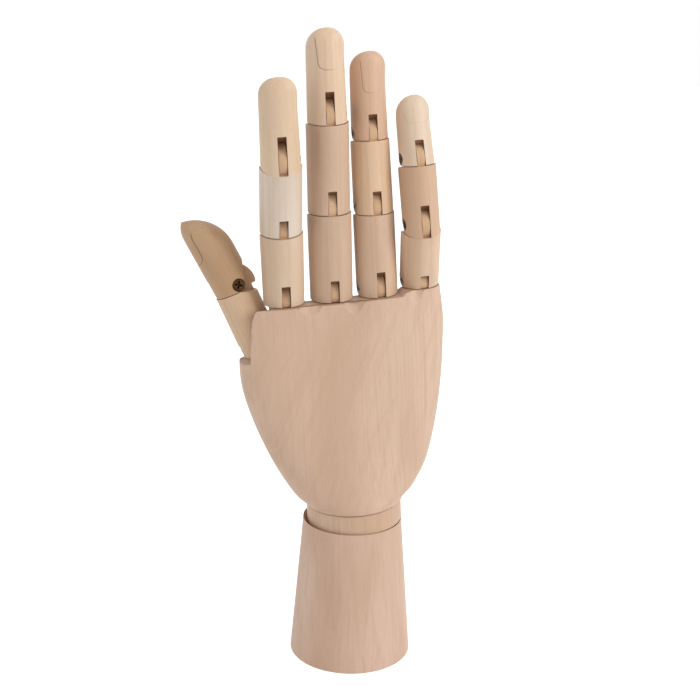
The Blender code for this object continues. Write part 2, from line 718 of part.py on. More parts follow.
def spring_route():
    """End coil under the anchor's head, coils up to the ball, and a long hook up to its centre."""
    start = BORE_FLOOR - WRIST_HEIGHT + TOUCH_GAP + SPRING_WIRE / 2
    top = -BALL_RADIUS - TOUCH_GAP - SPRING_WIRE / 2
    end_coil = ANCHOR_SHANK_RADIUS + TOUCH_GAP + SPRING_WIRE / 2
    route = []
    for i in range(TURN_STEPS):
        angle = 360.0 * i / TURN_STEPS
        route.append((end_coil * cosine(angle), end_coil * sine(angle), start))
    steps = SPRING_TURNS * TURN_STEPS
    half_turn = TURN_STEPS // 2
    for i in range(steps + 1):
        angle = 360.0 * i / TURN_STEPS
        radius = end_coil + (SPRING_RADIUS - end_coil) * min(1.0, i / half_turn)
        height = start + (top - start) * max(0, i - half_turn) / (steps - half_turn)
        route.append((radius * cosine(angle), radius * sine(angle), height))
    route.append((0.0, 0.0, top))
    middle = -HOOK_DROP - HOOK_LENGTH / 2
    for angle in range(270, -46, -24):
        route.append((0.0, HOOK_HALF_WIDTH * cosine(angle), middle + HOOK_LENGTH / 2 * sine(angle)))
    return route


def add_wrist_works(twist, nod, hand):
    wire = SPRING_WIRE / 2
    wire_object("wrist_spring", spring_route(), wire, twist, steel("wrist_spring"))
    ring = [(RING_RADIUS * cosine(angle), 0.0, RING_RADIUS * sine(angle)) for angle in range(0, 360, 20)]
    wire_object("swivel_ring", ring, wire, nod, steel("swivel_ring"), closed=True)
    centre = EYE_LIFT + EYE_RADIUS
    eye = [(0.0, EYE_RADIUS * cosine(angle), centre + EYE_RADIUS * sine(angle)) for angle in range(110, 451, 20)]
    eye.append((0.0, 0.0, centre + EYE_RADIUS + 2 * wire))
    eye.append((0.0, 0.0, centre + EYE_RADIUS + EYE_SHANK))
    wire_object("screw_eye", eye, wire, hand, steel("screw_eye"))


def add_anchor_screw():
    under = BORE_FLOOR + 2 * TOUCH_GAP + SPRING_WIRE
    head_top = under + ANCHOR_HEAD_THICKNESS
    end = BORE_FLOOR - ANCHOR_DEPTH
    profile = [
        (0.0, head_top), (ANCHOR_HEAD_RADIUS * 0.7, head_top),
        (ANCHOR_HEAD_RADIUS, under + ANCHOR_HEAD_THICKNESS / 2), (ANCHOR_HEAD_RADIUS, under),
        (ANCHOR_SHANK_RADIUS, under), (ANCHOR_SHANK_RADIUS, end + ANCHOR_SHANK_RADIUS), (0.0, end),
    ]
    turned_object("anchor_screw", profile, None, steel("anchor_screw"), 24)


twist = add_frame("wrist_twist_pivot", None, (0.0, 0.0, WRIST_HEIGHT))
nod = add_frame("wrist_nod_pivot", twist, (0.0, 0.0, 0.0))
hand = add_frame("wrist_lean_pivot", nod, (0.0, 0.0, 0.0), (0.0, -HAND_LEAN, 0.0))
note_joint("wrist_twist", twist, "cuff", (0.0, 0.0, 1.0), -180.0, 180.0)
note_joint("wrist_nod", nod, "wrist_spring", (1.0, 0.0, 0.0), -MAX_NOD, MAX_NOD)
note_joint("wrist_lean", hand, "swivel_ring", (0.0, 1.0, 0.0), HAND_LEAN - MAX_LEAN, HAND_LEAN + MAX_LEAN)
add_cuff()
add_wrist_ball(hand)
add_wrist_works(twist, nod, hand)
add_anchor_screw()
palm = add_palm(hand)
for finger, finger_sizes in FINGERS.items():
    add_finger(finger, finger_sizes, palm, hand)
add_thumb(palm, hand)
bpy.context.view_layer.update()
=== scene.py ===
import math

import bmesh
import bpy
from mathutils import Euler, Matrix, Vector


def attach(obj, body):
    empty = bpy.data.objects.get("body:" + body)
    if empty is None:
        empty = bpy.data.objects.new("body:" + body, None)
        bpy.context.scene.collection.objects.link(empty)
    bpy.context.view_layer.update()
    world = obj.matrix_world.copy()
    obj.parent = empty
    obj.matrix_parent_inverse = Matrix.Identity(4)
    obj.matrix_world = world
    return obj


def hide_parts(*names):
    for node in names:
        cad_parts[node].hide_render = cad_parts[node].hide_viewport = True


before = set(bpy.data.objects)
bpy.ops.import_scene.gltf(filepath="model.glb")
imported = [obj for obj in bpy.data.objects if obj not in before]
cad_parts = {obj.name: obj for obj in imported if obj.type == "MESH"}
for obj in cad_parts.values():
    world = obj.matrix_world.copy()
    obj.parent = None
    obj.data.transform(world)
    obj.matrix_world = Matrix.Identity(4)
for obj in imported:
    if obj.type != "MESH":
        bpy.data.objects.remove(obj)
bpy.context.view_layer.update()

bl_info = {
    "name": "Jointed wooden hand",
    "version": (1, 0, 0),
    "blender": (4, 5, 0),
    "location": "View3D > Sidebar > Wooden hand",
    "description": "Dresses the jointed wooden artist's hand on its turned cuff",
    "category": "Object",
}

# Clearances
TOUCH_GAP = 0.0003
TONGUE_PLAY = 0.0002
GLUE_GAP = 0.0002
SCREW_PLAY = 0.0002

# Cuff and wrist
CUFF_HEIGHT = 0.059
CUFF_FOOT_RADIUS = 0.0245
CUFF_MOUTH_RADIUS = 0.0198
CUFF_FOOT_EASING = 0.0006
BORE_RADIUS = 0.006
BORE_FLOOR = 0.016
BALL_RADIUS = 0.024
NECK_RADIUS = 0.0190
TENON_RADIUS = 0.0112
TENON_RISE = 0.020
CHAMBER_RADIUS = 0.0077
CHAMBER_RISE = 0.009
FLARE_ANGLE = 28.5
HAND_LEAN = 3.5
HEEL_DROP = 0.0061
DISH_RADIUS = BALL_RADIUS + TOUCH_GAP
WRIST_HEIGHT = CUFF_HEIGHT + math.sqrt(DISH_RADIUS**2 - CUFF_MOUTH_RADIUS**2)

# Spring, ring, eye and anchor screw
SPRING_WIRE = 0.0010
SPRING_RADIUS = 0.0035
SPRING_TURNS = 12
HOOK_HALF_WIDTH = 0.0036
HOOK_DROP = 0.0017
HOOK_LENGTH = 0.0076
RING_RADIUS = 0.0034
EYE_RADIUS = 0.0030
EYE_LIFT = 0.0019
EYE_SHANK = 0.008
ANCHOR_HEAD_RADIUS = 0.0027
ANCHOR_HEAD_THICKNESS = 0.0016
ANCHOR_SHANK_RADIUS = 0.0012
ANCHOR_DEPTH = 0.009

# Palm: height above the ball's centre, reach to the thumb side, to the little-finger side,
# to the back and to the palmar side, and how square the section is
PALM_STATIONS = (
    (-0.0061, 0.0195, 0.0195, 0.0195, 0.0195, 2.0),
    (-0.0048, 0.0198, 0.0198, 0.0197, 0.0197, 2.0),
    (-0.0030, 0.0222, 0.0222, 0.0192, 0.0193, 2.0),
    (0.000, 0.0246, 0.0254, 0.0178, 0.0183, 2.1),
    (0.008, 0.0291, 0.0302, 0.0155, 0.0165, 2.2),
    (0.018, 0.0337, 0.0333, 0.0138, 0.0151, 2.3),
    (0.032, 0.0388, 0.0361, 0.0126, 0.0143, 2.5),
    (0.046, 0.0422, 0.0378, 0.0119, 0.0138, 2.7),
    (0.058, 0.0425, 0.0385, 0.0113, 0.0132, 2.9),
    (0.068, 0.0420, 0.0388, 0.0106, 0.0120, 3.1),
    (0.086, 0.0398, 0.0372, 0.0091, 0.0098, 3.3),
)
KNUCKLE_HEIGHT = 0.0787
LITTLE_KNUCKLE_RISE = 0.0015

# Scoops in the palm's back edge: place across, radius, depth, lean in degrees and rise of the
# top there
SCOOPS = (
    (-0.0157, 0.0070, 0.0024, 35.0, 0.0),
    (0.0016, 0.0050, 0.0030, 32.0, 0.0),
    (0.0270, 0.0045, 0.0052, 22.0, LITTLE_KNUCKLE_RISE),
)

# Joints of the digits
PIVOT_RISE = 0.0027
TONGUE_THICKNESS = 0.0030
TONGUE_SHARE = 0.9
TONGUE_ROOT = 3 * PIVOT_RISE
SHOULDER_GAP = TOUCH_GAP / 3
BEVEL = 25.0
SAW_OFFSET = 0.0040
STEM_HALF_DEPTH = 0.0050
STEM_LENGTH = 0.009
SCREW_HEAD_RADIUS = 0.0024
SCREW_SHANK_RADIUS = 0.0012
SCREW_HEAD_RIM = 0.0003
SCREW_SINK_DEPTH = 0.0013
SCREW_FAR_BITE = 0.0030
SCREW_FLAT_SHARE = 0.6
ANCHOR_FLAT_SHARE = 0.7

# Fingertips, as shares of the dowel's radius: how far the back rolls over and the least depth of
# the end, and how near the last ring comes to it
TIP_BACK_ROLL = 0.3
TIP_LEAST_DEPTH = 0.002
TIP_LAST_RING = 0.9996

# Cross recesses: how narrow the bottom is, the first one's turn in degrees and the step to the
# next one's, and the turn of the one that shows best
CROSS_TAPER = 0.45
CROSS_TURN = 45.0
CROSS_TURN_STEP = 37.0
CROSS_TURNS_SEEN = {"thumb_distal": 52.0}

# Sides of turned shapes and steps along curves
PALM_SIDES = 128
TURN_SIDES = 128
DOWEL_SIDES = 96
SCREW_SIDES = 64
HOLE_SIDES = 48
PIN_SIDES = 32
STATION_STEPS = 5
SWEEP_STEPS = 80
TAB_STEPS = 48
CURVE_STEPS = 40
DISH_STEPS = 32
NOSE_STEPS = 16
WIRE_TURN_STEPS = 32

# Fingers: place of the knuckle across the hand, splay and twist in degrees, and for each segment
# its length between joint planes, radii at its foot and top, lean towards the back of the hand
# in degrees and height of its slot above the joint plane. The screw heads face the side given.
FINGERS = {
    "index": {
        "across": -0.0239, "rise": 0.0, "splay": -0.1, "twist": -3.5, "head_side": 1,
        "proximal": (0.0295, 0.0079, 0.00832, 7.7, 0.0100),
        "middle": (0.0293, 0.0081, 0.0080, 20.0, 0.0098),
        "distal": (0.0340, 0.00765, 0.0071, 2.0, 0.0127),
    },
    "middle": {
        "across": -0.0052, "rise": 0.0, "splay": 1.0, "twist": -1.5, "head_side": 1,
        "proximal": (0.0342, 0.0082, 0.0085, 0.0, 0.0089),
        "middle": (0.0349, 0.0081, 0.00812, 2.3, 0.0100),
        "distal": (0.0351, 0.0077, 0.0071, -3.0, 0.0121),
    },
    "ring": {
        "across": 0.0130, "rise": 0.0, "splay": 0.1, "twist": 0.0, "head_side": -1,
        "proximal": (0.0321, 0.0080, 0.00795, -2.2, 0.0100),
        "middle": (0.0281, 0.0077, 0.0074, -3.8, 0.0092),
        "distal": (0.0338, 0.0070, 0.0067, -1.0, 0.0106),
    },
    "little": {
        "across": 0.0301, "rise": LITTLE_KNUCKLE_RISE, "splay": -0.6, "twist": 1.0,
        "head_side": -1,
        "proximal": (0.0242, 0.0076, 0.0077, 14.0, 0.0076),
        "middle": (0.0250, 0.0071, 0.0073, -7.0, 0.0101),
        "distal": (0.0264, 0.0068, 0.0064, -12.0, 0.0096),
    },
}
THUMB_PLACE = (-0.0328, 0.0044, 0.0600)
THUMB_SPLAY = -20.0
THUMB_PROXIMAL = (0.0252, 0.0080, 0.0080, -8.0, 0.0090)
THUMB_DISTAL = (0.0333, 0.0080, 0.0080, 4.0, 0.0085)
THUMB_PIVOT_OFFSET = 0.0018
THUMB_UPPER_BEVEL = 48.0
THUMB_LOWER_BEVEL = 20.0
NOTCH_SIDE_GAP = 0.0009
NOTCH_WALL_GAP = 0.0008
NOTCH_WALL_ANGLE = 15.0
NOTCH_WALL_LEAN = 7.0

# How far cutters reach, and the slack with which points are taken as one or as inside
FAR = 0.2
SAME_POINT = 1e-7
INSIDE_SLACK = 1e-5

# Shading: angles in degrees past which an edge is sharp and below which faces are one flat, and
# how the rounding of the cuff's and the palm's edges compares with the ball's
SHARP_ANGLE = 30.0
WIRE_SHARP_ANGLE = 50.0
FLAT_ANGLE = 0.4
CUFF_ROUNDING_SHARE = 0.8
PALM_ROUNDING_SHARE = 1.5

# How a face in a slot faces: a wall across the slot at least so much, and its top downwards
WALL_FACING = 0.9
SLOT_TOP_FACING = -0.05

# Patterns of the wood and the metal: features to a millimetre across and along the grain, detail
# and, where there is one, distortion
BROAD_GRAIN = (0.045, 0.012, 2.0)
STREAK_GRAIN = (0.75, 0.010, 4.0, 0.3)
FIBRE_GRAIN = (4.5, 0.09, 3.0)
PORE_GRAIN = (2.6, 0.42, 1.0)
FLAME_GRAIN = (0.060, 0.013, 2.0, 0.9)
HEART_GRAIN = (0.13, 0.018, 1.0, 1.4)
TORN_GRAIN = (2.5, 0.3, 4.0)
SAW_MARKS = (0.2, 5.0, 2.0)
TARNISH = (0.8, 0.8, 3.0)
SCRATCHES = (14.0, 1.5, 2.0)

# Values of each pattern between which it comes in, and how strongly it darkens the wood
BROAD_SEEN, BROAD_STRENGTH = (0.3, 0.72), 0.55
STREAK_SEEN, STREAK_STRENGTH = (0.42, 0.78), 0.55
FIBRE_SEEN, FIBRE_STRENGTH = (0.45, 0.85), 0.35
PORE_SEEN, PORE_STRENGTH = (0.64, 0.74), 0.16
FLAME_SEEN = (0.40, 0.66)
END_GRAIN_SEEN = (0.8, 0.97)
TORN_SEEN = (0.35, 0.75)
TARNISH_SEEN = (0.35, 0.75)

# How far each pattern stands up or goes in, how strong the relief is, and how much the gloss varies
FIBRE_RISE = 0.5
PORE_SINK = 0.8
SCRIBE_SINK = 3.0
WOOD_RELIEF = 0.35
SAWN_RELIEF = 0.6
METAL_RELIEF = 0.2
SCRATCH_DEPTH = 0.00005
WOOD_GLOSS_SPREAD = 0.12
SCRATCH_GLOSS_SPREAD = 0.1
TARNISH_DULLNESS = 0.2
SAWN_ROUGHNESS = 0.8

# How dark a scribed line, torn wood and tarnish are against what is round them. The scribed line's
# darkness is painted shade in its groove.
SCRIBE_PAINTED_SHADE_STRENGTH = 0.75
SCRIBE_SHADE = 0.35
TORN_SHADE = 0.5
TARNISH_SHADE = 0.35

# Nail lines, in millimetres: the length over which they fade out, and where they end round the
# sides, between these two distances behind the dowel's middle
NAIL_FADE = 1.5
NAIL_BACK = (-2.2, -0.6)

# Stage: the lamps with their place and width, where they point, the floor's disc, and the camera's
# sensor and clipping
LAMPS = {
    "key": ((0.55, -0.45, 0.42), 0.35),
    "fill": ((-0.65, -0.35, 0.30), 0.6),
    "top": ((0.05, -0.05, 0.80), 0.5),
}
LAMP_AIM = Vector((0.0, 0.0, 0.13))
FLOOR_SIDES = 64
FLOOR_RADIUS = 1.5
SENSOR_WIDTH = 36.0
CAMERA_CLIP = (0.01, 20.0)
WHITE = (1.0, 1.0, 1.0, 1.0)
BLACK = (0.0, 0.0, 0.0, 1.0)

# The palm's heart, in millimetres: where its bow starts, how fast it bows, how far it lies towards
# the thumb, how far its edge wanders with the bands and with its own pattern, its half width and
# its lean in degrees
HEART_START = 12.0
HEART_BOW = 0.003
HEART_OFFSET = 9.0
HEART_WANDER = 16.0
HEART_FLOW = 22.0
HEART_WIDTH = 15.0
HEART_LEAN = -24.0
HEART_FLOW_SEEN = (0.5, 0.62)
HEART_FLOW_SHARE = 0.25

# How much of a wood's bands stay where it has a heart, and how much the heart adds
BANDS_BESIDE_HEART = 0.25
HEART_STRENGTH = 0.95

# How far each seed moves a pattern along X, Y and Z, in millimetres, and where that starts again,
# and the first seed of the tabs and of the segments
PATTERN_SHIFTS = ((7.31, 91.0), (3.77, 83.0), (5.19, 97.0))
TAB_SEED = 23
DIGIT_SEED = 31


def sine(degrees):
    return math.sin(math.radians(degrees))


def cosine(degrees):
    return math.cos(math.radians(degrees))


def frame_at(parent, place, turn=(0.0, 0.0, 0.0)):
    """A frame turned first about its own X, then Y, then Z of the frame before, in degrees."""
    angles = Euler([math.radians(angle) for angle in turn], "ZYX")
    return parent @ Matrix.Translation(place) @ angles.to_matrix().to_4x4()


WRIST = Matrix.Translation((0.0, 0.0, WRIST_HEIGHT))
HAND = frame_at(WRIST, (0.0, 0.0, 0.0), (0.0, -HAND_LEAN, 0.0))


def knuckle(sizes):
    """The frame of a finger's foot on the palm's top."""
    place = (sizes["across"], 0.0, KNUCKLE_HEIGHT + sizes["rise"])
    return frame_at(HAND, place, (0.0, sizes["splay"], sizes["twist"]))


THUMB_SEAT = frame_at(HAND, THUMB_PLACE, (0.0, THUMB_SPLAY, 0.0))


def arc(radius, start, end, steps, centre=(0.0, 0.0)):
    """Points on a circle, from one angle to another in degrees."""
    points = []
    for i in range(steps + 1):
        angle = start + (end - start) * i / steps
        points.append((centre[0] + radius * cosine(angle), centre[1] + radius * sine(angle)))
    return points


def outline_face(shape, points):
    return shape.faces.new([shape.verts.new(point) for point in points])


def finished(shape, name, place=Matrix.Identity(4)):
    """Places a bmesh, turns its faces out and makes it an object at the origin."""
    bmesh.ops.remove_doubles(shape, verts=shape.verts, dist=SAME_POINT)
    bmesh.ops.recalc_face_normals(shape, faces=shape.faces)
    bmesh.ops.transform(shape, matrix=place, verts=shape.verts)
    mesh = bpy.data.meshes.new(name)
    shape.to_mesh(mesh)
    shape.free()
    made = bpy.data.objects.new(name, mesh)
    bpy.context.scene.collection.objects.link(made)
    return made


def grown(shape, face, keep=False):
    """Extrudes a face in place and returns the new one. The old one goes, unless it is to keep."""
    made = bmesh.ops.extrude_face_region(shape, geom=[face])["geom"]
    if not keep:
        bmesh.ops.delete(shape, geom=[face], context="FACES_ONLY")
    return next(item for item in made if isinstance(item, bmesh.types.BMFace))


def slab(outline, low, high, place, name="slab"):
    """A side outline of (y, z), made solid between two places on X."""
    shape = bmesh.new()
    side = grown(shape, outline_face(shape, [(low, y, z) for y, z in outline]), keep=True)
    bmesh.ops.translate(shape, vec=(high - low, 0.0, 0.0), verts=side.verts)
    return finished(shape, name, place)


def turned(profile, sides, place, name="turned"):
    """Spins a profile of (radius, height) all round Z."""
    shape = bmesh.new()
    points = [shape.verts.new((radius, 0.0, height)) for radius, height in profile]
    edges = [shape.edges.new(pair) for pair in zip(points, points[1:])]
    bmesh.ops.spin(
        shape, geom=points + edges, axis=(0.0, 0.0, 1.0), cent=(0.0, 0.0, 0.0),
        angle=math.tau, steps=sides, use_merge=True, use_duplicate=False,
    )
    return finished(shape, name, place)


def column(rows, sides, place, name="column"):
    """Extrudes a round cap through rows of (height, half width, half depth, middle depth)."""
    shape = bmesh.new()
    made = bmesh.ops.create_circle(shape, cap_ends=True, segments=sides, radius=1.0)
    cap = made["verts"][0].link_faces[0]
    before = Matrix.Identity(4)
    for number, (height, half_width, half_depth, middle) in enumerate(rows):
        if number:
            cap = grown(shape, cap, keep=number == 1)
        size = Matrix.Diagonal((half_width, half_depth, 1.0, 1.0))
        lie = Matrix.Translation((0.0, middle, height)) @ size
        bmesh.ops.transform(shape, matrix=lie @ before.inverted(), verts=cap.verts)
        before = lie
    return finished(shape, name, place)


def rod(radius, length, sides, place, name):
    """A round cutter along Z, with its middle at the frame's origin."""
    shape = bmesh.new()
    bmesh.ops.create_cone(
        shape, cap_ends=True, segments=sides, radius1=radius, radius2=radius, depth=length
    )
    return finished(shape, name, place)


def carve(piece, steps):
    """Runs Booleans on a piece in order and keeps the result as its mesh."""
    for operation, cutter in steps:
        step = piece.modifiers.new(cutter.name, "BOOLEAN")
        step.operation = operation
        step.solver = "EXACT"
        step.object = cutter
    bpy.context.view_layer.update()
    graph = bpy.context.evaluated_depsgraph_get()
    mesh = bpy.data.meshes.new_from_object(piece.evaluated_get(graph))
    mesh.name = piece.name
    piece.modifiers.clear()
    piece.data = mesh
    for _, cutter in steps:
        bpy.data.objects.remove(cutter)
    return piece


def cut_with(cutter):
    return ("DIFFERENCE", cutter)


def keep_within(cutter):
    return ("INTERSECT", cutter)


def join_with(cutter):
    return ("UNION", cutter)


def foot_cutter(place, lean, bevel):
    """What is kept of an upper piece's foot: a flat, a nose round the pivot and a palmar bevel."""
    nose = PIVOT_RISE - TOUCH_GAP
    flat = Vector((cosine(lean), -sine(lean)))
    start = Vector((-nose * sine(lean), -nose * cosine(lean))) - flat * FAR
    rise = Vector((sine(bevel), cosine(bevel)))
    end = Vector((nose * cosine(bevel), -nose * sine(bevel))) + rise * FAR
    outline = [tuple(start), *arc(nose, -90.0 - lean, -bevel, NOSE_STEPS), tuple(end), (-FAR, FAR)]
    return slab(outline, -FAR, FAR, place)


def crown_cutter(place, height):
    """What is kept of a lower piece's top: a flat and a palmar bevel below it."""
    turn = -PIVOT_RISE * math.tan(math.radians(BEVEL / 2))
    level = height - PIVOT_RISE
    fall = FAR * math.tan(math.radians(BEVEL))
    outline = [
        (-FAR, level), (turn, level), (turn + FAR, level - fall), (turn + FAR, -FAR), (-FAR, -FAR),
    ]
    return slab(outline, -FAR, FAR, place)


def screw_hole_cutter(place, radius, side, offset):
    """A countersunk hole, with its mouth on one side."""
    flush = flush_height(radius, offset)
    head = SCREW_HEAD_RADIUS + SCREW_PLAY
    shank = SCREW_SHANK_RADIUS + SCREW_PLAY
    sink = flush - SCREW_SINK_DEPTH - SCREW_PLAY
    rim = flush - SCREW_HEAD_RIM - SCREW_PLAY
    end = -radius + SCREW_FAR_BITE - SCREW_PLAY
    mouth = FAR / 10
    profile = [(0, mouth), (head, mouth), (head, rim), (shank, sink), (shank, end), (0, end)]
    lie = place @ Matrix.Rotation(math.radians(90.0 * side), 4, "Y")
    return turned(profile, HOLE_SIDES, lie)


def flush_height(radius, offset):
    """How far out a screw head lies whose rim meets a dowel, where the dowel's middle is offset."""
    return math.sqrt(radius**2 - (SCREW_HEAD_RADIUS + offset) ** 2)


def slot_cutter(place, radius, slot_height, offset):
    """The disc swept by the tongue, joined to the disc of the saw that came in from the back."""
    half = TONGUE_THICKNESS / 2 + TONGUE_PLAY
    swept = math.hypot(TONGUE_SHARE * radius, PIVOT_RISE) + TOUCH_GAP
    blade = math.hypot(SAW_OFFSET, slot_height - PIVOT_RISE)
    back = radius + offset + SAW_OFFSET
    meet = math.degrees(math.acos((back**2 + swept**2 - blade**2) / (2 * back * swept)))
    seen = math.degrees(math.acos((back**2 + blade**2 - swept**2) / (2 * back * blade)))
    front = arc(swept, meet - 180.0, 180.0 - meet, SWEEP_STEPS)
    behind = arc(blade, seen, 360.0 - seen, CURVE_STEPS, (-back, 0.0))
    return slab(front + behind[1:-1], -half, half, place, "slot")


def tongue(place, height, radius):
    """A round-ended tongue about a pivot at a height, running a little into its own piece."""
    side = PIVOT_RISE - TOUCH_GAP
    base = height - TONGUE_ROOT
    half = math.sqrt(radius**2 - side**2)
    angle = math.degrees(math.asin(side / radius))
    outline = [
        *arc(radius, -angle, 180.0 + angle, CURVE_STEPS, (0.0, height)),
        (-half, base), (STEM_HALF_DEPTH, base), (STEM_HALF_DEPTH, height - side - SHOULDER_GAP),
    ]
    return slab(outline, -TONGUE_THICKNESS / 2, TONGUE_THICKNESS / 2, place)


def pin_hole(place):
    across = place @ Matrix.Rotation(math.radians(90.0), 4, "Y")
    radius = SCREW_SHANK_RADIUS + SCREW_PLAY
    return rod(radius, 2 * TONGUE_THICKNESS, PIN_SIDES, across, "pin_hole")


def tip_rows(low, high, bottom, top, middle):
    """A fingertip: a dowel whose back runs straight to a rounded end."""
    rows = [(bottom, low, low, middle)]
    dome = top - 2 * high
    ball = top - high
    for step in range(CURVE_STEPS + 1):
        reach = sine(90.0 * step / CURVE_STEPS) * (1.0 if step < CURVE_STEPS else TIP_LAST_RING)
        z = dome + (top - dome) * reach
        along = (z - dome) / (top - dome)
        near = max(0.0, (z - ball) / high)
        half_width = high * math.sqrt(1.0 - near**2)
        palmar = -high + 2 * high * math.sqrt(1.0 - along**2)
        back = -high + TIP_BACK_ROLL * high * near**3
        palmar = max(palmar, back + TIP_LEAST_DEPTH * high)
        rows.append((z, half_width, (palmar - back) / 2, middle + (palmar + back) / 2))
    return rows


def segment(name, digit):
    """One segment of a digit on the frame of its own pivot, slotted at its foot."""
    place, crown, bend, offset = digit["pivot"], digit["crown"], digit["rest_bend"], digit["offset"]
    length, low, high, _, slot_height = digit["sizes"]
    bottom = -2 * PIVOT_RISE - low * abs(sine(bend))
    if digit["is_tip"]:
        rows = tip_rows(low, high, bottom, length - PIVOT_RISE, -offset)
    else:
        rows = [(bottom, low, low, -offset), (length, high, high, -offset)]
    piece = column(rows, DOWEL_SIDES, place, name)
    steps = [
        keep_within(foot_cutter(place, bend, digit["bevel"])),
        cut_with(slot_cutter(place, low, slot_height, offset)),
        cut_with(screw_hole_cutter(place, low, digit["side"], offset)),
    ]
    if not digit["is_tip"]:
        above = frame_at(crown, (0.0, 0.0, length))
        steps.append(keep_within(crown_cutter(crown, length)))
        steps.append(join_with(tongue(crown, length, TONGUE_SHARE * high)))
        steps.append(cut_with(pin_hole(above)))
    return carve(piece, steps)


def linear(colour):
    """A display colour from 0 to 1, as linear light with an alpha."""
    return (*[c / 12.92 if c <= 0.04045 else ((c + 0.055) / 1.055) ** 2.4 for c in colour], 1.0)


def times(colour, share):
    return (*[c * share for c in colour[:3]], 1.0)


def tinted(colour, tint):
    return (*[c * t for c, t in zip(colour, tint)], 1.0)


class Value:
    """A shader socket on which Python's operators add Math nodes."""

    def __init__(self, nodes, socket):
        self.nodes = nodes
        self.socket = socket

    def maths(self, operation, first, second=0.0):
        return self.nodes.node("ShaderNodeMath", {"operation": operation}, {0: first, 1: second})

    def __add__(self, other):
        return self.maths("ADD", self, other)

    def __radd__(self, other):
        return self.maths("ADD", other, self)

    def __sub__(self, other):
        return self.maths("SUBTRACT", self, other)

    def __rsub__(self, other):
        return self.maths("SUBTRACT", other, self)

    def __mul__(self, other):
        return self.maths("MULTIPLY", self, other)

    def __rmul__(self, other):
        return self.maths("MULTIPLY", other, self)

    def __truediv__(self, other):
        return self.maths("DIVIDE", self, other)

    def __rtruediv__(self, other):
        return self.maths("DIVIDE", other, self)

    def __pow__(self, other):
        return self.maths("POWER", self, other)

    def __rpow__(self, other):
        return self.maths("POWER", other, self)

    def __abs__(self):
        return self.maths("ABSOLUTE", self)

    def at_least(self, other):
        return self.maths("MAXIMUM", self, other)


class Nodes:
    """A node tree whose nodes are added one by one."""

    def __init__(self, tree):
        self.tree = tree

    def node(self, kind, settings=None, sockets=None, output=0):
        """Adds a node, gives it its settings and then its sockets, and returns one output."""
        made = self.tree.nodes.new(kind)
        for key, value in (settings or {}).items():
            setattr(made, key, value)
        for key, value in (sockets or {}).items():
            self.feed(made.inputs[key], value)
        return Value(self, made.outputs[output])

    def feed(self, socket, value):
        if isinstance(value, Value):
            self.tree.links.new(value.socket, socket)
        else:
            socket.default_value = value

    def seen_directly(self):
        """1 for rays from the camera, or in a mirror or clear piece, and 0 for lighting."""
        mask = self.node("ShaderNodeLightPath", output="Is Camera Ray")
        for ray in ("Is Glossy Ray", "Is Transmission Ray"):
            mask = mask.at_least(self.node("ShaderNodeLightPath", output=ray))
        return mask


class Finish(Nodes):
    """A Principled material, with patterns that lie along a piece's own grain."""

    def __init__(self, name, roughness, metallic=0.0):
        self.material = bpy.data.materials.new(name)
        self.material.use_nodes = True
        super().__init__(self.material.node_tree)
        self.shader = self.tree.nodes["Principled BSDF"]
        self.shader.inputs["Roughness"].default_value = roughness
        self.shader.inputs["Metallic"].default_value = metallic

    def local(self, place):
        """Object coordinates in millimetres, in the frame of a piece."""
        point = self.node("ShaderNodeTexCoord", output="Object")
        turned_in = self.node("ShaderNodeMapping", {"vector_type": "TEXTURE"}, {
            "Vector": point, "Location": place.translation, "Rotation": place.to_euler("XYZ"),
        })
        return self.node("ShaderNodeMapping", {}, {"Vector": turned_in, "Scale": (1000.0,) * 3})

    def leaning(self, point, degrees):
        """A point in millimetres, turned about the line from back to palm."""
        return self.node("ShaderNodeMapping", {}, {
            "Vector": point, "Rotation": (0.0, math.radians(degrees), 0.0),
        })

    def noise(self, point, seed, across, along, detail, distortion=0.0):
        """Noise with this many features to a millimetre across and along the grain."""
        shift = [seed * step % span for step, span in PATTERN_SHIFTS]
        place = self.node("ShaderNodeMapping", {}, {
            "Vector": point, "Location": shift, "Scale": (across, across, along),
        })
        return self.node("ShaderNodeTexNoise", {}, {
            "Vector": place, "Scale": 1.0, "Detail": detail, "Distortion": distortion,
        })

    def between(self, value, low, high):
        """0 below low and 1 above high, with a smooth step."""
        return self.node("ShaderNodeMapRange", {"interpolation_type": "SMOOTHSTEP"}, {
            "Value": value, "From Min": low, "From Max": high,
        })

    def mixed(self, share, first, second):
        """One colour turning into another. The colour sockets of a Mix node are 6, 7 and out 2."""
        return self.node("ShaderNodeMix", {"data_type": "RGBA"}, {0: share, 6: first, 7: second}, 2)

    def coordinate(self, point, axis):
        return self.node("ShaderNodeSeparateXYZ", {}, {0: point}, axis)

    def raised(self, height, strength, distance):
        bump = self.node("ShaderNodeBump", {}, {
            "Height": height, "Strength": strength, "Distance": distance,
        })
        self.feed(self.shader.inputs["Normal"], bump)


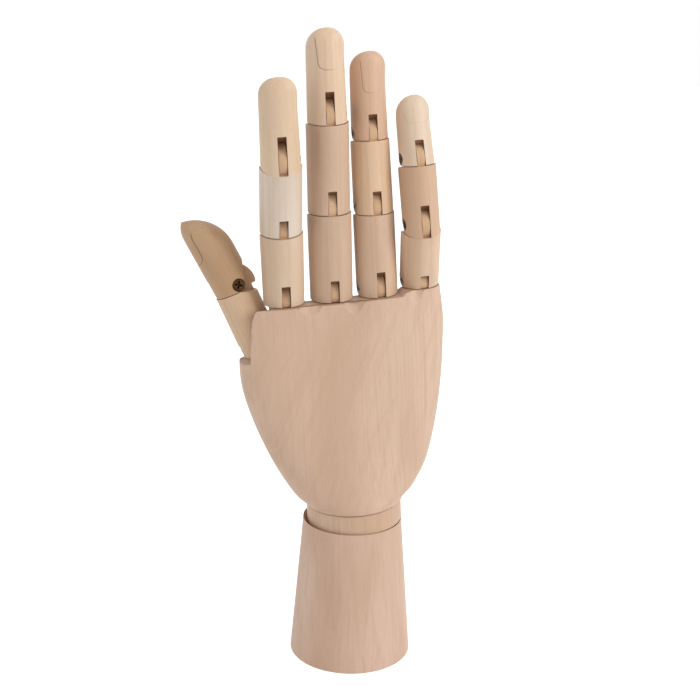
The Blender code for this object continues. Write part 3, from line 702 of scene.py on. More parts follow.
def wood(name, place, colour, seed, figure=0.35, lean=0.0, scribe_and_shade=None, heart=None):
    """Bare fine-grained wood, with its grain up the piece's own frame.

    figure says how strongly the broad darker bands show and lean tilts them. scribe_and_shade gives
    the mask of a cut line, which the wood sinks a little and darkens with painted shade, and heart
    that of a darker heart in the wood, where there is one.
    """
    looks = bpy.context.scene.wooden_hand_wood
    finish = Finish(name, looks.roughness)
    point = finish.local(place)
    pale = linear(colour)
    tan = tinted(pale, looks.grain_tint)
    dark = tinted(pale, looks.pore_tint)
    brown = tinted(pale, looks.figure_tint)

    broad = finish.noise(point, seed, *BROAD_GRAIN)
    streak = finish.noise(point, seed + 1, *STREAK_GRAIN)
    fibre = finish.noise(point, seed + 2, *FIBRE_GRAIN)
    pore = finish.between(finish.noise(point, seed + 3, *PORE_GRAIN), *PORE_SEEN)
    flame = finish.noise(finish.leaning(point, lean), seed + 4, *FLAME_GRAIN)
    late = finish.between(flame, *FLAME_SEEN)
    if heart:
        late = late * BANDS_BESIDE_HEART + heart(finish, point, flame) * HEART_STRENGTH

    layers = (
        (finish.between(broad, *BROAD_SEEN), BROAD_STRENGTH, tan),
        (finish.between(streak, *STREAK_SEEN), STREAK_STRENGTH, tan),
        (late, figure, brown),
        (finish.between(fibre, *FIBRE_SEEN), FIBRE_STRENGTH, tan),
        (pore, PORE_STRENGTH, dark),
    )
    shown = pale
    for mask, strength, tint in layers:
        shown = finish.mixed(mask * (strength * looks.grain_strength), shown, tint)

    normal = finish.node("ShaderNodeTexCoord", output="Normal")
    axis = place.to_3x3() @ Vector((0.0, 0.0, 1.0))
    facing = finish.node(
        "ShaderNodeVectorMath", {"operation": "DOT_PRODUCT"}, {0: normal, 1: axis}, "Value"
    )
    end = finish.between(abs(facing), *END_GRAIN_SEEN)
    shown = finish.mixed(end * looks.end_grain, shown, dark)
    height = fibre * FIBRE_RISE - pore * PORE_SINK
    # The nail line: a small bump sinks it, and painted shade darkens it as if in its groove.
    if scribe_and_shade:
        line = scribe_and_shade(finish, point)
        shown = finish.mixed(line * SCRIBE_PAINTED_SHADE_STRENGTH, shown, times(dark, SCRIBE_SHADE))
        height = height - line * SCRIBE_SINK
    dullness = looks.roughness + fibre * WOOD_GLOSS_SPREAD - WOOD_GLOSS_SPREAD / 2
    finish.feed(finish.shader.inputs["Base Color"], shown)
    finish.feed(finish.shader.inputs["Roughness"], dullness)
    finish.raised(height, WOOD_RELIEF, looks.grain_depth)
    return finish.material


def sawn_and_shaded(name, place, colour, seed):
    """The rough wood inside a slot, with the saw's marks across it. Its dark tint is mostly painted
    shade in the slot, with some of the saw-cut wood's own warmer, duller tone.
    """
    looks = bpy.context.scene.wooden_hand_wood
    finish = Finish(name, SAWN_ROUGHNESS)
    point = finish.local(place)
    # Painted shade: the slot tint darkens the slot's walls and top as their shadow would.
    pale = tinted(linear(colour), looks.slot_shade_tint)
    fibre = finish.noise(point, seed, *TORN_GRAIN)
    marks = finish.noise(point, seed + 1, *SAW_MARKS)
    shown = finish.mixed(finish.between(fibre, *TORN_SEEN), pale, times(pale, TORN_SHADE))
    finish.feed(finish.shader.inputs["Base Color"], shown)
    finish.raised(fibre + marks, SAWN_RELIEF, looks.grain_depth * 2)
    return finish.material


def metal(name, place, colour, roughness, wear):
    """Plated or drawn metal, with fine scratches and a duller, darker cast in places."""
    finish = Finish(name, roughness, 1.0)
    point = finish.local(place)
    bright = linear(colour)
    scratch = finish.noise(point, 5, *SCRATCHES)
    mask = finish.between(finish.noise(point, 3, *TARNISH), *TARNISH_SEEN)
    shown = finish.mixed(mask * wear, bright, times(bright, TARNISH_SHADE))
    scratched = scratch * SCRATCH_GLOSS_SPREAD - SCRATCH_GLOSS_SPREAD / 2
    finish.feed(finish.shader.inputs["Base Color"], shown)
    dullness = roughness + mask * TARNISH_DULLNESS + scratched
    finish.feed(finish.shader.inputs["Roughness"], dullness)
    finish.raised(scratch, METAL_RELIEF, SCRATCH_DEPTH)
    return finish.material


def share_setting(name, description, default):
    return bpy.props.FloatProperty(
        name=name, description=description, default=default, min=0.0, max=1.0, subtype="FACTOR"
    )


def length_setting(name, description, default):
    return bpy.props.FloatProperty(
        name=name, description=description, default=default, unit="LENGTH", precision=5
    )


def power_setting(name, description, default):
    return bpy.props.FloatProperty(
        name=name, description=description, default=default, min=0.0, unit="POWER"
    )


def tint_setting(name, description, default):
    return bpy.props.FloatVectorProperty(
        name=name, description=description, default=default, min=0.0, max=1.0, subtype="COLOR"
    )


def colour_setting(name, description, default):
    return bpy.props.FloatVectorProperty(
        name=name, description=description, default=default, min=0.0, max=1.0,
        subtype="COLOR_GAMMA",
    )


class WoodSettings(bpy.types.PropertyGroup):
    """How the bare wood looks."""

    roughness: share_setting("Roughness", "How dull the sanded wood is", 0.52)
    grain_strength: bpy.props.FloatProperty(
        name="Grain strength", description="How clearly the grain shows", default=1.0,
        min=0.0, max=2.0,
    )
    grain_tint: tint_setting(
        "Grain tint", "What the pale wood is multiplied by along the grain", (0.80, 0.70, 0.60)
    )
    figure_tint: tint_setting(
        "Figure tint", "What the pale wood is multiplied by in its broad darker bands",
        (0.80, 0.72, 0.64),
    )
    pore_tint: tint_setting(
        "Pore tint", "What the pale wood is multiplied by in its pores", (0.52, 0.38, 0.27)
    )
    end_grain: share_setting("End grain", "How much darker the cut ends are", 0.22)
    # Mostly painted shade: this tint darkens the slots' walls and tops in place of their shadow,
    # with some of the saw-cut wood's warmer tone.
    slot_shade_tint: tint_setting(
        "Slot shade tint", "What the pale wood is multiplied by inside the sawn slots",
        (0.36, 0.21, 0.12),
    )
    grain_depth: length_setting("Grain depth", "How deep the grain and pores are", 0.00012)


# Display colours of the wood, as it varies from piece to piece
TONES = {
    "cuff": (0.825, 0.705, 0.625), "palm": (0.835, 0.72, 0.635), "wrist_ball": (0.82, 0.70, 0.605),
    "tongue": (0.82, 0.68, 0.54),
    "index_proximal": (0.865, 0.775, 0.68), "index_middle": (0.885, 0.825, 0.765),
    "index_distal": (0.877, 0.778, 0.67),
    "middle_proximal": (0.803, 0.698, 0.605), "middle_middle": (0.83, 0.728, 0.64),
    "middle_distal": (0.885, 0.78, 0.675),
    "ring_proximal": (0.82, 0.705, 0.607), "ring_middle": (0.86, 0.738, 0.615),
    "ring_distal": (0.862, 0.73, 0.63),
    "little_proximal": (0.832, 0.72, 0.612), "little_middle": (0.811, 0.687, 0.58),
    "little_distal": (0.885, 0.803, 0.72),
    "thumb_proximal": (0.855, 0.74, 0.62), "thumb_distal": (0.75, 0.615, 0.48),
}


class ToneSettings(bpy.types.PropertyGroup):
    """Display colour of the wood of each piece. All tongues share one."""

    __annotations__ = {
        piece: colour_setting(
            piece.replace("_", " ").capitalize(), "Display colour of the wood", colour
        )
        for piece, colour in TONES.items()
    }


class PieceSettings(bpy.types.PropertyGroup):
    """Sizes that only the looks need."""

    edge_rounding: length_setting(
        "Edge rounding", "How far sanding has rounded the turned edges", 0.0002
    )
    recess_width: length_setting("Recess width", "Width of a cross-head recess's arms", 0.00075)
    recess_length: length_setting("Recess length", "Length across a cross-head recess", 0.0031)
    recess_depth: length_setting("Recess depth", "Depth of a cross-head recess", 0.0011)
    scribe_width: length_setting(
        "Nail line width", "Width of the line scribed round a nail", 0.00028
    )


class MetalSettings(bpy.types.PropertyGroup):
    """Colours of the screws and of the wrist's wire."""

    bronze: colour_setting(
        "Screw colour", "Display colour of the dark bronze screws", (0.33, 0.24, 0.16)
    )
    steel: colour_setting(
        "Wire colour", "Display colour of the spring, ring and eye", (0.78, 0.77, 0.75)
    )


class StageSettings(bpy.types.PropertyGroup):
    """Camera, lamps and floor."""

    camera_place: bpy.props.FloatVectorProperty(
        name="Camera place", description="Where the camera stands",
        default=(-0.15525, -0.61363, 0.3381), unit="LENGTH", precision=5,
    )
    camera_aim: bpy.props.FloatVectorProperty(
        name="Camera aim", description="The direction in which the camera looks",
        default=(0.2298, 0.9215, -0.3132), precision=4, subtype="DIRECTION",
    )
    camera_roll: bpy.props.FloatProperty(
        name="Camera roll", description="How far the camera is rolled",
        default=math.radians(1.1), unit="ROTATION",
    )
    lens: bpy.props.FloatProperty(
        name="Lens", description="Focal length of the camera", default=87.43, unit="CAMERA",
    )
    key_power: power_setting("Key power", "Power of the lamp on the right", 2.9)
    fill_power: power_setting("Fill power", "Power of the soft lamp on the left", 1.0)
    top_power: power_setting("Top power", "Power of the lamp overhead", 1.0)
    room_light: bpy.props.FloatProperty(
        name="Room light", description="Strength of the even light all round", default=0.53,
    )
    floor_colour: colour_setting("Floor colour", "Display colour of the floor", (0.93, 0.93, 0.93))
    floor_glow: bpy.props.FloatProperty(
        name="Floor glow", description="What the floor adds to its own light before the camera",
        default=0.7,
    )


def tone(piece):
    return getattr(bpy.context.scene.wooden_hand_tones, piece)


def dressed(piece, materials, body, node):
    """Gives a piece its materials, rides it on its body and lets it stand for its node."""
    for material in materials:
        piece.data.materials.append(material)
    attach(piece, body)
    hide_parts(node)


def smoothed(piece, angle=SHARP_ANGLE, rounding=0.0):
    """Merges a piece's flat faces, shades it smooth but for its edges and rounds those a little."""
    shape = bmesh.new()
    shape.from_mesh(piece.data)
    bmesh.ops.dissolve_limit(
        shape, angle_limit=math.radians(FLAT_ANGLE), use_dissolve_boundaries=False,
        verts=shape.verts, edges=shape.edges, delimit={"MATERIAL"},
    )
    shape.to_mesh(piece.data)
    shape.free()
    piece.data.shade_smooth()
    piece.data.set_sharp_from_angle(angle=math.radians(angle))
    if rounding:
        edge = piece.modifiers.new("worn edges", "BEVEL")
        edge.width = rounding
        edge.segments = 2
        edge.limit_method = "ANGLE"
        edge.angle_limit = math.radians(angle)
        edge.harden_normals = True
        edge.use_clamp_overlap = False
    return piece


def mark_faces(piece, place, half, wanted, slot_number):
    """Gives a material to the wanted faces that lie within a half width of a frame's middle."""
    back = place.inverted()
    for face in piece.data.polygons:
        corners = [back @ piece.data.vertices[number].co for number in face.vertices]
        inside = all(abs(corner.x) < half + INSIDE_SLACK for corner in corners)
        if inside and wanted(back @ face.center, back.to_3x3() @ face.normal):
            face.material_index = slot_number


def mark_slot_shade(piece, digit, slot_number):
    """Gives the faces inside a segment's slot the material whose dark tint is painted shade."""
    top = digit["sizes"][4]

    def wanted(middle, facing):
        return middle.z < top and (abs(facing.x) > WALL_FACING or facing.z < SLOT_TOP_FACING)

    mark_faces(piece, digit["pivot"], TONGUE_THICKNESS / 2 + TONGUE_PLAY, wanted, slot_number)


def mark_tongue(piece, digit, slot_number):
    """Gives the faces of a segment's tongue the tongue's own material."""
    level = digit["sizes"][0] - PIVOT_RISE

    def wanted(middle, facing):
        return middle.z > level

    mark_faces(piece, digit["crown"], TONGUE_THICKNESS / 2, wanted, slot_number)


def digit_frames():
    """Every segment's frames and sizes, by the segment's name."""
    made = {}
    for finger, sizes in FINGERS.items():
        below = knuckle(sizes)
        height = PIVOT_RISE
        lean_before = 0.0
        for part in ("proximal", "middle", "distal"):
            rest_bend = sizes[part][3] - lean_before
            pivot = frame_at(below, (0.0, 0.0, height), (rest_bend, 0.0, 0.0))
            made[f"{finger}_{part}"] = {
                "pivot": pivot, "crown": pivot, "sizes": sizes[part], "rest_bend": rest_bend,
                "bevel": BEVEL, "side": sizes["head_side"], "is_tip": part == "distal",
                "offset": 0.0,
            }
            below = pivot
            height = sizes[part][0]
            lean_before = sizes[part][3]
    swing = frame_at(THUMB_SEAT, (0.0, 0.0, PIVOT_RISE), (THUMB_PROXIMAL[3], 0.0, 0.0))
    across = frame_at(swing, (THUMB_PIVOT_OFFSET, 0.0, 0.0), (0.0, 0.0, -90.0))
    bend = frame_at(across, (0.0, 0.0, THUMB_PROXIMAL[0]), (THUMB_DISTAL[3], 0.0, 0.0))
    made["thumb_proximal"] = {
        "pivot": swing, "crown": across, "sizes": THUMB_PROXIMAL, "rest_bend": THUMB_PROXIMAL[3],
        "bevel": THUMB_UPPER_BEVEL, "side": -1, "is_tip": False, "offset": 0.0,
    }
    made["thumb_distal"] = {
        "pivot": bend, "crown": bend, "sizes": THUMB_DISTAL, "rest_bend": THUMB_DISTAL[3],
        "bevel": BEVEL, "side": 1, "is_tip": True, "offset": THUMB_PIVOT_OFFSET,
    }
    return made


DIGITS = digit_frames()


def smooth_between(rows, steps):
    """A smooth curve through rows of numbers, with some steps between one row and the next."""
    result = []
    for i in range(len(rows) - 1):
        before = rows[max(i - 1, 0)]
        start, end = rows[i], rows[i + 1]
        after = rows[min(i + 2, len(rows) - 1)]
        for step in range(steps):
            t = step / steps
            row = []
            for a, b, c, d in zip(before, start, end, after):
                row.append(0.5 * (2 * b + (c - a) * t + (2 * a - 5 * b + 4 * c - d) * t**2
                                  + (3 * b - a - 3 * c + d) * t**3))
            result.append(row)
    result.append(list(rows[-1]))
    return result


def palm_block():
    """Extrudes a round cap up the palm's stations and gives each ring its own squarish section."""
    shape = bmesh.new()
    made = bmesh.ops.create_circle(shape, cap_ends=True, segments=PALM_SIDES, radius=1.0)
    cap = made["verts"][0].link_faces[0]
    angles = {}
    for vertex in cap.verts:
        angles[vertex] = math.atan2(vertex.co.y, vertex.co.x)
    for number, station in enumerate(smooth_between(PALM_STATIONS, STATION_STEPS)):
        if number:
            lower = {tuple(vertex.co): angles[vertex] for vertex in cap.verts}
            cap = grown(shape, cap, keep=number == 1)
            for vertex in cap.verts:
                angles[vertex] = lower[tuple(vertex.co)]
        height, thumb_side, little_side, back, front, square = station
        for vertex in cap.verts:
            c, s = math.cos(angles[vertex]), math.sin(angles[vertex])
            x = math.copysign(abs(c) ** (2 / square), c) * (little_side if c > 0 else thumb_side)
            y = math.copysign(abs(s) ** (2 / square), s) * (front if s > 0 else back)
            vertex.co = (x, y, height)
    return finished(shape, "palm_wood", HAND)


def palm_top_cutters():
    """The palm's flat top and its palmar bevel, with a short ramp up to the little finger."""
    turn = -PIVOT_RISE * math.tan(math.radians(BEVEL / 2))
    drop = FAR * math.tan(math.radians(BEVEL))
    ramp_start = FINGERS["ring"]["across"] + FINGERS["ring"]["proximal"][1]
    ramp_end = FINGERS["little"]["across"] - FINGERS["little"]["proximal"][1]
    shape = bmesh.new()
    outline = [(-FAR, 0.0), (turn, 0.0), (turn + FAR, -drop), (turn + FAR, FAR), (-FAR, FAR)]
    side = outline_face(shape, [(-FAR, y, KNUCKLE_HEIGHT + z) for y, z in outline])
    steps = ((ramp_start, 0.0), (ramp_end, LITTLE_KNUCKLE_RISE), (FAR, 0.0))
    for number, (across, rise) in enumerate(steps):
        side = grown(shape, side, keep=number == 0)
        for vertex in side.verts:
            vertex.co.x = across
            vertex.co.z += rise
    return [cut_with(finished(shape, "palm_top", HAND))]


def scoop_cutters():
    """Shallow round scoops in the palm's back edge, near the gaps between the fingers."""
    steps = []
    edge = PALM_STATIONS[-1][3]
    for across, radius, depth, lean, rise in SCOOPS:
        reach = radius - depth * sine(lean)
        place = (across, -edge - reach * cosine(lean), KNUCKLE_HEIGHT + rise + reach * sine(lean))
        scoop = frame_at(HAND, place, (-lean, 0.0, 0.0))
        steps.append(cut_with(rod(radius, FAR / 4, TURN_SIDES, scoop, "scoop")))
    return steps


def thumb_notch_cutters():
    """The ledge that the thumb stands on, and the bevel on its palmar side."""
    radius = THUMB_PROXIMAL[1]
    side = radius + NOTCH_SIDE_GAP
    wall = -(radius + NOTCH_WALL_GAP)
    slope = math.tan(math.radians(NOTCH_WALL_ANGLE))
    shape = bmesh.new()
    corners = [(side, wall), (side, FAR), (-FAR, FAR), (-FAR, wall - slope * FAR), (0.0, wall)]
    floor = outline_face(shape, [(x, y, 0.0) for x, y in corners])
    top = grown(shape, floor, keep=True)
    back = -FAR * math.tan(math.radians(NOTCH_WALL_LEAN))
    bmesh.ops.translate(shape, vec=(0.0, back, FAR), verts=top.verts)
    notch = finished(shape, "notch", THUMB_SEAT)
    turn = -PIVOT_RISE * math.tan(math.radians(THUMB_LOWER_BEVEL / 2))
    drop = math.tan(math.radians(THUMB_LOWER_BEVEL))
    outline = [(turn, 0.0), (turn + FAR, -FAR * drop), (turn + FAR, FAR), (turn, FAR)]
    return [cut_with(notch), cut_with(slab(outline, -FAR, side, THUMB_SEAT))]


def tab_outline(radius):
    """A tab's side about its pivot: a round end and a square stem."""
    reach = TONGUE_SHARE * radius
    side = PIVOT_RISE - TOUCH_GAP
    angle = math.degrees(math.asin(side / reach))
    shoulder = -side - SHOULDER_GAP
    foot = -side - STEM_LENGTH
    return [
        *arc(reach, -angle, 180.0 + angle, TAB_STEPS),
        (-STEM_HALF_DEPTH, shoulder), (-STEM_HALF_DEPTH, foot),
        (STEM_HALF_DEPTH, foot), (STEM_HALF_DEPTH, shoulder),
    ]


def mortise_cutter(seat, radius):
    wide = TONGUE_THICKNESS / 2 + GLUE_GAP
    deep = STEM_HALF_DEPTH + GLUE_GAP
    floor = -STEM_LENGTH - GLUE_GAP
    reach = TONGUE_SHARE * radius
    pocket = [(-deep, floor), (deep, floor), (deep, reach), (-deep, reach)]
    return slab(pocket, -wide, wide, seat)


def nail_line(centre, half_width, flare, bottom, corner, top, left, right):
    """The line scribed round a nail on the back of a fingertip, in millimetres.

    It fades out at top, and left and right say how clear it is on either side. The wood sinks the
    line a little and darkens it with painted shade for its groove.
    """
    def mask(finish, point):
        width = bpy.context.scene.wooden_hand_pieces.scribe_width * 1000
        x, y, z = [finish.coordinate(point, axis) for axis in range(3)]
        rise = z - (bottom + corner)
        side = half_width + rise.at_least(0.0) * flare
        across = abs(x - centre) / side
        down = (rise * (-1.0 / corner)).at_least(0.0)
        edge = (across ** 3.0 + down ** 3.0) ** (1.0 / 3.0)
        away = abs(edge - 1.0) * half_width
        line = 1.0 - finish.between(away, width * 0.25, width * 0.75)
        fade = 1.0 - finish.between(z, top - NAIL_FADE, top)
        behind = 1.0 - finish.between(y, *NAIL_BACK)
        clear = finish.between(x, centre - half_width * 0.7, centre + half_width * 0.7)
        return line * fade * behind * (left + clear * (right - left))
    return mask


def palm_heart(finish, point, flame):
    """A broad darker band that runs down the palm's middle and bows towards the thumb."""
    x, height = finish.coordinate(point, 0), finish.coordinate(point, 2)
    middle = (height - HEART_START) ** 2.0 * HEART_BOW - HEART_OFFSET
    flow = finish.noise(finish.leaning(point, HEART_LEAN), 3, *HEART_GRAIN)
    away = abs(x - middle) + (flame - 0.5) * HEART_WANDER + (flow - 0.5) * HEART_FLOW
    band = 1.0 - finish.between(away, 0.0, HEART_WIDTH)
    flowing = finish.between(flow, *HEART_FLOW_SEEN)
    return band * (1.0 - HEART_FLOW_SHARE) + flowing * HEART_FLOW_SHARE


NAILS = {
    "middle_distal": nail_line(
        centre=0.4, half_width=4.2, flare=0.09, bottom=17.2, corner=3.6, top=29.5,
        left=0.9, right=0.12,
    ),
    "ring_distal": nail_line(
        centre=0.3, half_width=3.6, flare=0.06, bottom=15.8, corner=3.2, top=28.5,
        left=0.6, right=0.08,
    ),
    "little_distal": nail_line(
        centre=0.2, half_width=4.6, flare=0.05, bottom=13.0, corner=2.6, top=17.5,
        left=0.25, right=0.2,
    ),
    "thumb_distal": nail_line(
        centre=0.0, half_width=6.1, flare=0.06, bottom=13.2, corner=4.0, top=26.5,
        left=0.9, right=0.9,
    ),
}


class WOODEN_HAND_OT_cuff(bpy.types.Operator):
    """Turns the tapered cuff, with its dish, its bore and a faint chamfer round its foot"""

    bl_idname = "wooden_hand.cuff"
    bl_label = "Cuff"

    def execute(self, context):
        base = BORE_FLOOR - ANCHOR_DEPTH - SCREW_PLAY
        rim = WRIST_HEIGHT - math.sqrt(DISH_RADIUS**2 - BORE_RADIUS**2)
        low = math.degrees(math.asin(BORE_RADIUS / DISH_RADIUS))
        high = math.degrees(math.asin(CUFF_MOUTH_RADIUS / DISH_RADIUS))
        dish = arc(DISH_RADIUS, low - 90.0, high - 90.0, DISH_STEPS, (0.0, WRIST_HEIGHT))
        hole = ANCHOR_SHANK_RADIUS + SCREW_PLAY
        ease = CUFF_FOOT_EASING
        profile = [
            (0.0, base), (hole, base), (hole, BORE_FLOOR), (BORE_RADIUS, BORE_FLOOR),
            (BORE_RADIUS, rim), *dish[1:], (CUFF_FOOT_RADIUS, ease),
            (CUFF_FOOT_RADIUS - ease, 0.0), (0.0, 0.0),
        ]
        piece = turned(profile, TURN_SIDES, Matrix.Identity(4), "cuff_turned")
        rounding = context.scene.wooden_hand_pieces.edge_rounding * CUFF_ROUNDING_SHARE
        smoothed(piece, rounding=rounding)
        material = wood(
            "cuff wood", Matrix.Identity(4), tone("cuff"), seed=4, figure=0.5, lean=2.0
        )
        dressed(piece, [material], "cuff", "cuff")
        return {"FINISHED"}


class WOODEN_HAND_OT_palm(bpy.types.Operator):
    """Carves the palm, with its bevelled top, scoops between the fingers and the thumb's ledge"""

    bl_idname = "wooden_hand.palm"
    bl_label = "Palm"

    def execute(self, context):
        socket = TENON_RADIUS + GLUE_GAP
        low, high = -2 * HEEL_DROP, TENON_RISE + GLUE_GAP
        hole = turned([(0.0, high), (socket, high), (socket, low), (0.0, low)], DOWEL_SIDES, HAND)
        steps = [*palm_top_cutters(), *scoop_cutters(), cut_with(hole)]
        for name, sizes in FINGERS.items():
            steps.append(cut_with(mortise_cutter(knuckle(sizes), sizes["proximal"][1])))
        steps += thumb_notch_cutters()
        steps.append(cut_with(mortise_cutter(THUMB_SEAT, THUMB_PROXIMAL[1])))
        piece = carve(palm_block(), steps)
        rounding = context.scene.wooden_hand_pieces.edge_rounding * PALM_ROUNDING_SHARE
        smoothed(piece, rounding=rounding)
        material = wood(
            "palm wood", HAND, tone("palm"), seed=47, figure=1.0, lean=-20.0, heart=palm_heart
        )
        dressed(piece, [material], "hand", "palm")
        return {"FINISHED"}


class WOODEN_HAND_OT_ball(bpy.types.Operator):
    """Turns the wrist's ball with its neck, tenon and flared hole"""

    bl_idname = "wooden_hand.ball"
    bl_label = "Wrist ball"

    def execute(self, context):
        neck = math.degrees(math.asin(NECK_RADIUS / BALL_RADIUS))
        seat = arc(BALL_RADIUS, neck - 90.0, FLARE_ANGLE - 90.0, DISH_STEPS)
        flare_top = -CHAMBER_RADIUS / math.tan(math.radians(FLARE_ANGLE))
        pilot = SPRING_WIRE / 2 + SCREW_PLAY
        shank_top = EYE_LIFT + 2 * EYE_RADIUS + EYE_SHANK + SCREW_PLAY
        shoulder = -HEEL_DROP - TOUCH_GAP
        profile = [
            (0.0, TENON_RISE), (TENON_RADIUS, TENON_RISE), (TENON_RADIUS, shoulder),
            (NECK_RADIUS, shoulder), *seat, (CHAMBER_RADIUS, flare_top),
            (CHAMBER_RADIUS, CHAMBER_RISE), (pilot, CHAMBER_RISE), (pilot, shank_top),
            (0.0, shank_top),
        ]
        piece = turned(profile, TURN_SIDES, HAND, "wrist_ball_turned")
        smoothed(piece, rounding=context.scene.wooden_hand_pieces.edge_rounding)
        material = wood("ball wood", HAND, tone("wrist_ball"), seed=17, figure=0.5, lean=3.0)
        dressed(piece, [material], "hand", "wrist_ball")
        return {"FINISHED"}


class WOODEN_HAND_OT_tabs(bpy.types.Operator):
    """Cuts the glued tongues that the fingers and the thumb turn on at the palm"""

    bl_idname = "wooden_hand.tabs"
    bl_label = "Knuckle tabs"

    def execute(self, context):
        seats = {
            f"{name}_knuckle_tab": (knuckle(sizes), sizes["proximal"][1])
            for name, sizes in FINGERS.items()
        }
        seats["thumb_base_tab"] = (THUMB_SEAT, THUMB_PROXIMAL[1])
        half = TONGUE_THICKNESS / 2
        for number, (node, (seat, radius)) in enumerate(seats.items()):
            pivot = frame_at(seat, (0.0, 0.0, PIVOT_RISE))
            piece = slab(tab_outline(radius), -half, half, pivot, node + "_sawn")
            carve(piece, [cut_with(pin_hole(pivot))])
            smoothed(piece)
            seed = TAB_SEED + number
            material = wood(node + " wood", pivot, tone("tongue"), seed, figure=0.3)
            dressed(piece, [material], "hand", node)
        return {"FINISHED"}


class WOODEN_HAND_OT_digits(bpy.types.Operator):
    """Turns, slots and bevels every segment of the fingers and the thumb"""

    bl_idname = "wooden_hand.digits"
    bl_label = "Finger and thumb segments"

    def execute(self, context):
        for number, (name, digit) in enumerate(DIGITS.items()):
            piece = segment(name + "_dowel", digit)
            smoothed(piece)
            # The slot's walls and top get a second material, darkened with painted shade.
            mark_slot_shade(piece, digit, 1)
            place, seed = digit["pivot"], DIGIT_SEED + 3 * number
            outside = wood(
                name + " wood", place, tone(name), seed, figure=0.45, lean=number % 4,
                scribe_and_shade=NAILS.get(name),
            )
            materials = [outside, sawn_and_shaded(name + " slot", place, tone(name), seed)]
            if not digit["is_tip"]:
                mark_tongue(piece, digit, 2)
                crown = digit["crown"]
                materials.append(wood(name + " tongue", crown, tone("tongue"), seed + 1))
            dressed(piece, materials, name, name)
        return {"FINISHED"}


class WOODEN_HAND_OT_screws(bpy.types.Operator):
    """Turns the joint screws and cuts their cross recesses"""

    bl_idname = "wooden_hand.screws"
    bl_label = "Joint screws"

    def execute(self, context):
        for number, (name, digit) in enumerate(DIGITS.items()):
            low = digit["sizes"][1]
            flush = flush_height(low, digit["offset"])
            end = -low + SCREW_FAR_BITE
            ease = SCREW_HEAD_RIM / 2
            profile = [
                (0.0, flush), (SCREW_HEAD_RADIUS * SCREW_FLAT_SHARE, flush),
                (SCREW_HEAD_RADIUS - ease, flush - ease / 3),
                (SCREW_HEAD_RADIUS, flush - ease), (SCREW_HEAD_RADIUS, flush - SCREW_HEAD_RIM),
                (SCREW_SHANK_RADIUS, flush - SCREW_SINK_DEPTH),
                (SCREW_SHANK_RADIUS, end + SCREW_SHANK_RADIUS), (0.0, end),
            ]
            lie = digit["pivot"] @ Matrix.Rotation(math.radians(90.0 * digit["side"]), 4, "Y")
            angle = CROSS_TURNS_SEEN.get(name, CROSS_TURN + CROSS_TURN_STEP * number)
            turn = Matrix.Rotation(math.radians(angle), 4, "Z")
            screw = turned(profile, SCREW_SIDES, lie, name + "_cross_head_screw")
            top = lie @ turn @ Matrix.Translation((0.0, 0.0, flush))
            carve(screw, [cut_with(cross_cutter(top, context.scene.wooden_hand_pieces))])
            smoothed(screw)
            looks = context.scene.wooden_hand_metals
            material = metal(
                name + " screw bronze", lie, looks.bronze, roughness=0.38, wear=0.6
            )
            dressed(screw, [material], name, name + "_screw")
        return {"FINISHED"}


def cross_cutter(place, sizes):
    """A cross with four arms that narrow towards the bottom of the recess."""
    shape = bmesh.new()
    half = sizes.recess_length / 2
    thin = sizes.recess_width / 2
    corners = [
        (half, -thin), (half, thin), (thin, thin), (thin, half), (-thin, half), (-thin, thin),
        (-half, thin), (-half, -thin), (-thin, -thin), (-thin, -half), (thin, -half), (thin, -thin),
    ]
    mouth = outline_face(shape, [(x, y, 0.0) for x, y in corners])
    floor = grown(shape, mouth, keep=True)
    bmesh.ops.scale(shape, vec=(CROSS_TAPER, CROSS_TAPER, 1.0), verts=floor.verts)
    bmesh.ops.translate(shape, vec=(0.0, 0.0, -sizes.recess_depth), verts=floor.verts)
    top = grown(shape, mouth)
    bmesh.ops.translate(shape, vec=(0.0, 0.0, sizes.recess_depth), verts=top.verts)
    return finished(shape, "cross", place)


def wire(name, route, radius, place, closed=False):
    """A round wire along points, as a mesh."""
    curve = bpy.data.curves.new(name, "CURVE")
    curve.dimensions = "3D"
    curve.bevel_depth = radius
    curve.bevel_resolution = 4
    curve.use_fill_caps = not closed
    line = curve.splines.new("POLY")
    line.points.add(len(route) - 1)
    for point, spot in zip(line.points, route):
        point.co = (*spot, 1.0)
    line.use_cyclic_u = closed
    drawn = bpy.data.objects.new(name, curve)
    bpy.context.scene.collection.objects.link(drawn)
    bpy.context.view_layer.update()
    graph = bpy.context.evaluated_depsgraph_get()
    mesh = bpy.data.meshes.new_from_object(drawn.evaluated_get(graph))
    bpy.data.objects.remove(drawn)
    mesh.transform(place)
    made = bpy.data.objects.new(name, mesh)
    bpy.context.scene.collection.objects.link(made)
    return smoothed(made, WIRE_SHARP_ANGLE)


def spring_route():
    """End coil under the anchor's head, coils up to the ball, and a long hook up to its centre."""
    start = BORE_FLOOR - WRIST_HEIGHT + TOUCH_GAP + SPRING_WIRE / 2
    top = -BALL_RADIUS - TOUCH_GAP - SPRING_WIRE / 2
    end_coil = ANCHOR_SHANK_RADIUS + TOUCH_GAP + SPRING_WIRE / 2
    route = []
    for i in range(WIRE_TURN_STEPS):
        angle = 360.0 * i / WIRE_TURN_STEPS
        route.append((end_coil * cosine(angle), end_coil * sine(angle), start))
    steps = SPRING_TURNS * WIRE_TURN_STEPS
    half_turn = WIRE_TURN_STEPS // 2
    for i in range(steps + 1):
        angle = 360.0 * i / WIRE_TURN_STEPS
        radius = end_coil + (SPRING_RADIUS - end_coil) * min(1.0, i / half_turn)
        height = start + (top - start) * max(0, i - half_turn) / (steps - half_turn)
        route.append((radius * cosine(angle), radius * sine(angle), height))
    route.append((0.0, 0.0, top))
    middle = -HOOK_DROP - HOOK_LENGTH / 2
    for angle in range(270, -30, -10):
        route.append((0.0, HOOK_HALF_WIDTH * cosine(angle), middle + HOOK_LENGTH / 2 * sine(angle)))
    return route


